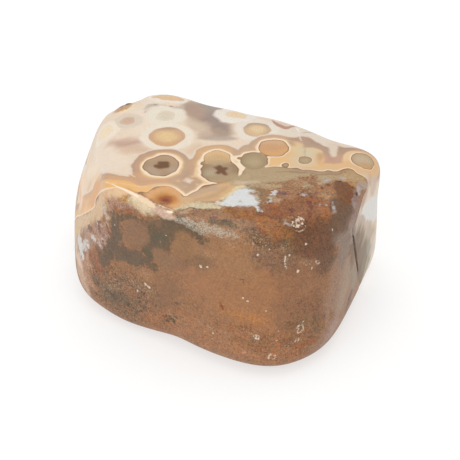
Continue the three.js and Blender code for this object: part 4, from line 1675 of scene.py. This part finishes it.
class NodeTree:
    """A material's nodes, added one call at a time."""

    def __init__(self, material: bpy.types.Material) -> None:
        """Empties the material's tree.

        Args:
            material: Where the nodes go.
        """
        material.use_nodes = True
        self.tree = material.node_tree
        self.tree.nodes.clear()

    def add(
        self, kind: str, inputs: Sequence | dict = (), output: int | str = 0, **settings: object
    ) -> Socket:
        """Adds a node with its settings and links.

        Args:
            kind: The node's type, without its common beginning.
            inputs: Values or sockets for its inputs, in order, or by number or name.
            output: Which of its outputs is wanted.
            settings: Its properties.

        Returns:
            The output's socket.
        """
        node = self.tree.nodes.new("ShaderNode" + kind)
        for name, value in settings.items():
            setattr(node, name, value)
        for key, value in inputs.items() if isinstance(inputs, dict) else enumerate(inputs):
            if isinstance(value, Socket):
                self.tree.links.new(value, node.inputs[key])
            else:
                node.inputs[key].default_value = value
        return node.outputs[output] if len(node.outputs) else None


SMOOTH = {"interpolation_type": "SMOOTHSTEP"}
COLOURS = {"data_type": "RGBA"}

# How a field of one, three or four values is written to a mesh, and read by a material.
KINDS = {
    1: ("FLOAT", "value", "Fac"),
    3: ("FLOAT_VECTOR", "vector", "Vector"),
    4: ("FLOAT_COLOR", "color", "Color"),
}


@dataclass(frozen=True)
class PolishedJasper:
    """Ocean jasper: agate and jasper, cut by tumbling and polished to a soft gloss.

    Quartz has an IOR near 1.54. The polish is even but not mirror-like, so highlights are broad,
    and it is frosted where grains were plucked out. Sizes are in millimetres.
    """

    ior: float = 1.54
    polish: float = 0.46
    frosted: float = 0.7
    cream: str = "#f5dec2"
    thread: str = "#ecdccb"
    line: str = "#8f7052"
    core: str = "#7b5d48"
    core_light: str = "#97785e"
    seam: str = "#f0d6b6"
    facet: str = "#d1ae97"
    facet_light: str = "#e0c7b3"
    seam_light: str = "#fbe8cf"
    frost: str = "#bfb5a4"
    faint: str = "#bda88e"
    knock: str = "#f3dfc8"
    crack: str = "#54361f"
    # Jasper's own grain is too fine to show, so the coarsest of it is drawn.
    streak: float = 2.3
    cloud: float = 1.1
    fleck: float = 0.55
    grain: float = 0.3
    speck: float = 0.46
    dot: float = 0.26
    ring: float = 0.45
    waver: float = 0.07
    # How much of the mottling every place has, and how high dots and swells of the polish stand.
    least_grain: float = 0.08
    dot_relief: float = 0.06
    swell_relief: float = 0.03
    # What warmer and cooler places multiply red, green and blue by.
    warm: Colour = (1.09, 0.97, 0.84)
    cool: Colour = (0.94, 0.99, 1.0)


class JasperNodes(NodeTree):
    """The nodes of polished jasper, with the colour that is laid so far.

    Distances, depths and sizes in them are in millimetres.
    """

    def __init__(
        self, material: bpy.types.Material, finish: PolishedJasper, fields: dict[str, str]
    ) -> None:
        """Reads the place on the stone and the fields there, and starts from the pale ground.

        Args:
            material: Where the nodes go.
            finish: Its colours and sizes.
            fields: The kind of output that reads each field, by the field's name.
        """
        super().__init__(material)
        self.finish = finish
        place = self.add("TexCoord", output="Object")
        self.mm = self.add("VectorMath", {0: place, 3: 1.0 / MM}, operation="SCALE")
        self.read = {
            name: self.add("Attribute", output=output, attribute_name=name)
            for name, output in fields.items()
        }
        exact, waver = self.read["band_distance"], self.swing(1.4, finish.waver)
        self.distance = self.add("Math", (exact, waver), operation="ADD")
        self.colour = self.read["ground"]

    def join(self) -> None:
        """Lays the markings over one another and puts them on the polished surface."""
        orbs = self.orb_insides()
        self.lay_halos()
        self.lay(orbs, self.read["haloed_orb"], 0.16, -0.2)
        self.lay_mass()
        self.lay(orbs, self.read["banded_orb"], -0.02, 0.25)
        self.lay_bands()
        self.lay_patches(Layer.OVER, 0.0)
        self.lay_seams()
        rough, bump = self.lay_scuffs()
        inputs = {"Base Color": self.colour, "Roughness": rough, "Normal": bump}
        shader = self.add("BsdfPrincipled", {**inputs, "IOR": self.finish.ior})
        self.add("OutputMaterial", {"Surface": shader})

    def swing(
        self, size: float, share: float, detail: float = 2.0, place: Socket | None = None
    ) -> Socket:
        """Noise that swings from -share to share.

        Args:
            size: Size of its swells.
            share: How far it swings.
            detail: How many finer noises lie on it.
            place: Where it is read, or None for the place on the stone.

        Returns:
            Its value.
        """
        inputs = {"Vector": place or self.mm, "Scale": 1.0 / size, "Detail": detail, "Roughness": 0.6}
        noise = self.add("TexNoise", inputs)
        return self.add("MapRange", (noise, 0.3, 0.7, -share, share))

    def laid(
        self, under: object, over: object, value: Socket, low: float, high: float, most: object = 1.0
    ) -> Socket:
        """A colour laid over another as a value goes from low to high, up to a share of most."""
        share = self.add("MapRange", (value, low, high, 0.0, most), **SMOOTH)
        return self.add("Mix", {0: share, 6: under, 7: over}, output=2, **COLOURS)

    def lay(
        self, over: object, value: Socket, low: float, high: float, most: object = 1.0
    ) -> None:
        """Lays a colour on in the same way."""
        self.colour = self.laid(self.colour, over, value, low, high, most)

    def ripple(self, colour: Socket, distance: Socket, depth: float) -> Socket:
        """Fine growth rings: the colour times 1 + depth·sin(2π·distance / ring + wander).

        Args:
            colour: The colour.
            distance: What the rings follow.
            depth: How strong they are.

        Returns:
            The colour with the rings.
        """
        inputs = (distance, 2.0 * math.pi / self.finish.ring, self.swing(0.9, 2.0))
        phase = self.add("Math", inputs, operation="MULTIPLY_ADD")
        wave = self.add("Math", (phase,), operation="SINE")
        light = self.add("Math", (wave, depth, 1.0), operation="MULTIPLY_ADD")
        return self.add("VectorMath", {0: colour, 3: light}, operation="SCALE")

    def orb_insides(self) -> Socket:
        """The colour inside the orbs, in fine growth rings, with their dark cores."""
        colour = self.ripple(self.read["orb"], self.read["orb_distance"], 0.06)
        core = self.add("Math", (self.read["core"], self.swing(0.6, 0.1)), operation="ADD")
        colour = self.laid(colour, TOP.rgba(self.finish.core_light), core, -0.35, 0.0, 0.8)
        return self.laid(colour, TOP.rgba(self.finish.core), core, -0.06, 0.25)

    def lay_halos(self) -> None:
        """Lays halos in thin, faint rings round the haloed orbs."""
        distance, halo = self.read["haloed_orb"], self.read["halo"]
        beyond = self.add("Math", (distance, halo.node.outputs["Alpha"]), operation="SUBTRACT")
        beyond = self.add("Math", (beyond, self.swing(1.6, 0.12)), operation="ADD")
        self.lay(self.ripple(halo, distance, 0.03), beyond, 0.5, -0.5)

    def lay_mass(self) -> None:
        """Lays the brown mass and the lower layers of patches, and mottles what is granular."""
        mass = self.read["mass"]
        share = self.add("MapRange", (self.distance, 0.08, -0.04, 0.0, 1.0), **SMOOTH)
        self.colour = self.add("Mix", {0: share, 6: self.colour, 7: mass}, output=2, **COLOURS)
        grain = self.add("Math", (share, mass.node.outputs["Alpha"]), operation="MULTIPLY")
        for layer in (Layer.UNDER, Layer.UPPER):
            grain = self.lay_patches(layer, grain)
        self.mottle(grain)

    def lay_patches(self, layer: Layer, grain: object) -> Socket:
        """Lays a layer of patches, with edges broken up by fine noise.

        Args:
            layer: Which layer.
            grain: How granular the colour is.

        Returns:
            How granular it is then.
        """
        paint = self.read[f"{layer.value}_paint"]
        depth = self.add("SeparateXYZ", (self.read[f"{layer.value}_edge"],))
        inputs = (self.swing(0.7, 1.0, 3.0), depth.node.outputs[1], depth)
        broken = self.add("Math", inputs, operation="MULTIPLY_ADD")
        share = self.add("MapRange", (broken, -1.0, 1.0, 0.0, 1.0), **SMOOTH)
        self.colour = self.add("Mix", {0: share, 6: self.colour, 7: paint}, output=2, **COLOURS)
        return self.add("Mix", {0: share, 2: grain, 3: paint.node.outputs["Alpha"]})

    def mottle(self, grain: Socket) -> None:
        """Mottles the colour with streaks, clouds, flecks, grains, specks and a tinge.

        Args:
            grain: How granular it is.
        """
        finish = self.finish
        stretched = self.add("VectorMath", (self.mm, (0.45, 1.0, 1.0)), operation="MULTIPLY")
        light = self.swing(finish.streak, 0.1, 3.0, stretched)
        for size, depth in ((finish.cloud, 0.14), (finish.fleck, 0.2), (finish.grain, 0.5)):
            light = self.add("Math", (light, self.swing(size, depth)), operation="ADD")
        inputs = {"Vector": self.mm, "Scale": 1.0 / finish.speck, "Detail": 1.0}
        specks = self.add("TexNoise", inputs)
        specks = self.add("MapRange", (specks, 0.6, 0.7, 0.0, -0.25), **SMOOTH)
        light = self.add("Math", (light, specks), operation="ADD")
        least = finish.least_grain
        amount = self.add("Math", (grain, 1.0 - least, least), operation="MULTIPLY_ADD")
        light = self.add("Math", (light, amount, 1.0), operation="MULTIPLY_ADD")
        colour = self.add("VectorMath", {0: self.colour, 3: light}, operation="SCALE")
        warmth = self.add("Math", (self.swing(1.6, 1.0), grain), operation="MULTIPLY")
        self.colour = colour
        for tinge, high in ((finish.warm, 0.8), (finish.cool, -0.8)):
            tinged = self.add("VectorMath", (colour, tinge), operation="MULTIPLY")
            self.lay(tinged, warmth, 0.0, high)

    def lay_bands(self) -> None:
        """Lays the agate bands: a dark line, then cream, gold and tan, and a pale thread."""
        finish, distance = self.finish, self.distance
        cream_width = self.add("SeparateXYZ", (self.read["band_widths"],))
        _, gold_width, tan_width = cream_width.node.outputs
        past_cream = self.add("Math", (distance, cream_width), operation="SUBTRACT")
        past_gold = self.add("Math", (past_cream, gold_width), operation="SUBTRACT")
        past_tan = self.add("Math", (past_gold, tan_width), operation="SUBTRACT")
        shade = self.add("MapRange", (past_tan, -1.1, -0.15, 1.02, 0.93), **SMOOTH)
        tan = self.add("VectorMath", {0: self.read["tan"], 3: shade}, operation="SCALE")
        tan = self.ripple(tan, distance, 0.03)
        gold = self.ripple(self.read["gold"], distance, 0.015)
        layers = self.laid(tan, gold, past_gold, 0.3, -0.25)
        layers = self.laid(layers, TOP.rgba(finish.cream), past_cream, 0.2, -0.28)
        layers = self.laid(layers, TOP.rgba(finish.thread), past_tan, -0.22, 0.16, 0.8)
        inputs = (distance, -0.04, 0.06, 0.0, self.read["band_strength"])
        self.lay(layers, past_tan, 0.6, 0.08, self.add("MapRange", inputs, **SMOOTH))
        marked = self.add("Math", (self.read["line_strength"], 0.7), operation="MULTIPLY")
        line = self.add("MapRange", (distance, 0.14, -0.02, 0.0, marked), **SMOOTH)
        self.lay(TOP.rgba(finish.line), distance, -0.26, -0.06, line)

    def lay_seams(self) -> None:
        """Lays the facet and the seam that opens into it, the cracks and the hairlines."""
        finish = self.finish
        fine = self.swing(0.5, 0.12, 3.0)
        facet, seam, crack = (
            self.add("Math", (self.read[name], fine), operation="ADD")
            for name in ("facet", "seam", "crack")
        )
        stretched = self.add("VectorMath", (self.mm, (0.4, 0.8, 1.0)), operation="MULTIPLY")
        streaks = self.swing(0.4, 1.0, place=stretched)
        dark, light = FRONT.rgba(finish.facet), FRONT.rgba(finish.facet_light)
        pink = self.laid(dark, light, streaks, -0.6, 0.8)
        self.lay(pink, facet, -0.3, 0.4, 0.9)
        self.lay(TOP.rgba(finish.seam), seam, -0.16, 0.16, 0.95)
        self.lay(TOP.rgba(finish.seam_light), self.read["seam_light"], -0.2, 0.1)
        self.lay(FRONT.rgba(finish.crack), crack, -0.16, 0.14, 0.75)
        self.lay(TOP.rgba(finish.line), self.read["hairline"], -0.22, 0.06, 0.6)

    def lay_scuffs(self) -> tuple[Socket, Socket]:
        """Lays the frosted strip, the bruises and the knocks.

        Returns:
            The roughness and the normal.
        """
        finish = self.finish
        dots = self.add("TexNoise", {"Vector": self.mm, "Scale": 1.0 / finish.dot, "Detail": 1.0})
        dotted = self.add("Math", (self.swing(0.9, 0.5), self.read["frost"]), operation="ADD")
        frosted = self.add("MapRange", (dotted, -0.35, 0.45, 0.0, 0.85), **SMOOTH)
        dense = self.add("MapRange", (dots, 0.44, 0.56, 0.3, 1.0), **SMOOTH)
        frosted = self.add("Math", (frosted, dense), operation="MULTIPLY")
        faint = self.add("MapRange", (self.read["faint_frost"], -0.8, 1.0, 0.0, 0.75), **SMOOTH)
        sparse = self.add("MapRange", (dots, 0.55, 0.66, 0.0, faint), **SMOOTH)
        chipped = self.add("Math", (self.swing(0.35, 0.14), self.read["knock"]), operation="ADD")
        knocked = self.add("MapRange", (chipped, -0.08, 0.12, 0.0, 0.8), **SMOOTH)
        scuffed = 0.0
        shades = (finish.frost, finish.faint, finish.knock)
        for share, shade in zip((frosted, sparse, knocked), shades):
            inputs = {0: share, 6: self.colour, 7: FRONT.rgba(shade)}
            self.colour = self.add("Mix", inputs, output=2, **COLOURS)
            scuffed = self.add("Math", (scuffed, share), operation="MAXIMUM")
        plucked = self.add("Math", (scuffed, dots), operation="MULTIPLY")
        height = self.add("Math", (plucked, finish.dot_relief), operation="MULTIPLY")
        inputs = (self.swing(1.8, 0.1), finish.swell_relief, height)
        relief = self.add("Math", inputs, operation="MULTIPLY_ADD")
        inputs = (scuffed, 0.0, 1.0, finish.polish, finish.frosted)
        bump = self.add("Bump", {"Height": relief, "Distance": MM, "Strength": 1.0})
        return self.add("MapRange", inputs), bump


@dataclass
class JasperStone:
    """The stone itself: the fine pebble in place of the plain solid.

    The crack under the ledge is crack_cut times as deep as it is wide to each side.
    """

    shape: WornPebble = field(default_factory=WornPebble)
    view: PhotoView = field(default_factory=PhotoView)
    finish: PolishedJasper = field(default_factory=PolishedJasper)
    crack_cut: float = 1.3

    def points(self) -> tuple[Array, Array]:
        """The worn surface's points in millimetres, with its scars, and its squares."""
        box, quads = self.shape.cage_mesh()
        return self.shape.with_scars(self.shape.surface(normalised(box))), quads

    def dented(self, points: Array) -> Array:
        """The points with the pits pressed in and the crack cut, towards the heart.

        A pit is depth·e^(-(distance / radius)²) deep. The crack is a groove that deepens evenly
        from its sides to its middle. Nothing goes below the table.

        Args:
            points: Places of the surface in millimetres.

        Returns:
            The moved points.
        """
        placing = Placing(self.view, self.shape)
        dent = self.crack_cut * np.maximum(depth_in(points, [placing.seen(LEDGE_CRACK)]), 0.0)
        for pit in PITS:
            distance = np.linalg.norm(points - placing.seen([pit.pixel])[0], axis=1)
            dent += pit.depth * np.exp(-((distance / pit.radius) ** 2))
        dented = points - dent[:, None] * self.shape.outward(points)
        dented[:, 2] = np.maximum(dented[:, 2], 0.0)
        return dented

    def build(self) -> bpy.types.Object:
        """Builds the mesh, writes its fields and gives it its finish."""
        points, quads = self.points()
        mesh = bpy.data.meshes.new(PIECE)
        mesh.vertices.add(len(points))
        mesh.vertices.foreach_set("co", (self.dented(points) * MM).ravel().astype(np.float32))
        mesh.loops.add(quads.size)
        mesh.loops.foreach_set("vertex_index", quads.ravel().astype(np.int32))
        mesh.polygons.add(len(quads))
        mesh.polygons.foreach_set("loop_start", np.arange(0, quads.size, 4, dtype=np.int32))
        mesh.polygons.foreach_set("use_smooth", np.ones(len(quads), dtype=bool))
        mesh.update(calc_edges=True)
        outputs = {}
        for name, values in Pattern(Placing(self.view, self.shape)).fields(points).items():
            kind, part, outputs[name] = KINDS[values.size // len(points)]
            data = mesh.attributes.new(name, kind, "POINT").data
            data.foreach_set(part, values.ravel().astype(np.float32))
        material = bpy.data.materials.new("tumble_polished_ocean_jasper")
        JasperNodes(material, self.finish, outputs).join()
        mesh.materials.append(material)
        stone = bpy.data.objects.new(PIECE, mesh)
        bpy.context.scene.collection.objects.link(stone)
        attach(stone, BODY)
        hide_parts(NODE)
        log.info("stone: %d squares", len(quads))
        return stone


@dataclass(frozen=True)
class Softbox:
    """A square lamp that faces the stone. Sizes are in metres and its power in watts."""

    name: str
    place: tuple[float, float, float]
    side: float
    power: float

    def hang(self) -> None:
        """Makes the lamp and turns it to the stone."""
        lamp = bpy.data.lights.new(self.name, "AREA")
        lamp.shape = "SQUARE"
        lamp.size = self.side
        lamp.energy = self.power
        holder = bpy.data.objects.new(self.name, lamp)
        back = normalised(np.array(self.place))
        right = normalised(np.cross(np.array([0.0, 1.0, 0.001]), back))
        holder.matrix_world = standing([right, np.cross(back, right), back], self.place)
        bpy.context.scene.collection.objects.link(holder)


@dataclass(frozen=True)
class Studio:
    """A pale table under soft, even light. Sizes are in metres."""

    table_colour: str = "#a9a9a8"
    table_glow: float = 0.6
    table_side: float = 4.0
    sky: float = 0.66
    lamps: tuple[Softbox, ...] = (
        Softbox("overhead_softbox", (-0.05, 0.10, 0.85), 0.9, 3.1),
        Softbox("front_softbox", (-0.35, -0.75, 0.55), 0.7, 2.5),
        Softbox("right_softbox", (0.80, -0.25, 0.45), 0.5, 0.5),
    )

    def build(self) -> None:
        """Lays the table, lights it and chooses how the picture shows."""
        self.lay_table()
        for lamp in self.lamps:
            lamp.hang()
        world = bpy.data.worlds.new("studio_air")
        bpy.context.scene.world = world
        world.use_nodes = True
        background = world.node_tree.nodes["Background"]
        background.inputs["Color"].default_value = (1.0, 1.0, 1.0, 1.0)
        background.inputs["Strength"].default_value = self.sky
        bpy.context.scene.view_settings.view_transform = "Standard"
        log.info("studio: %d lamps", len(self.lamps))

    def lay_table(self) -> None:
        """A flat square under the stone, of white opal glass lit a little from below."""
        half = self.table_side / 2
        corners = [(-half, -half, 0.0), (half, -half, 0.0), (half, half, 0.0), (-half, half, 0.0)]
        mesh = bpy.data.meshes.new("table")
        mesh.from_pydata(corners, [], [(0, 1, 2, 3)])
        material = bpy.data.materials.new("white_opal_light_table")
        nodes = NodeTree(material)
        white = (*linear(self.table_colour), 1.0)
        glow = {"Emission Color": (1.0, 1.0, 1.0, 1.0), "Emission Strength": self.table_glow}
        shader = nodes.add("BsdfPrincipled", {"Base Color": white, "Roughness": 0.9, **glow})
        nodes.add("OutputMaterial", {"Surface": shader})
        mesh.materials.append(material)
        table = bpy.data.objects.new("table", mesh)
        bpy.context.scene.collection.objects.link(table)


def main() -> None:
    """Builds the camera, the stone and the studio, in that order."""
    logging.basicConfig(level=logging.INFO, format="%(name)s: %(message)s")
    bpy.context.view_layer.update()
    PhotoView().add_camera()
    JasperStone().build()
    Studio().build()


if __name__ == "__main__":
    main()
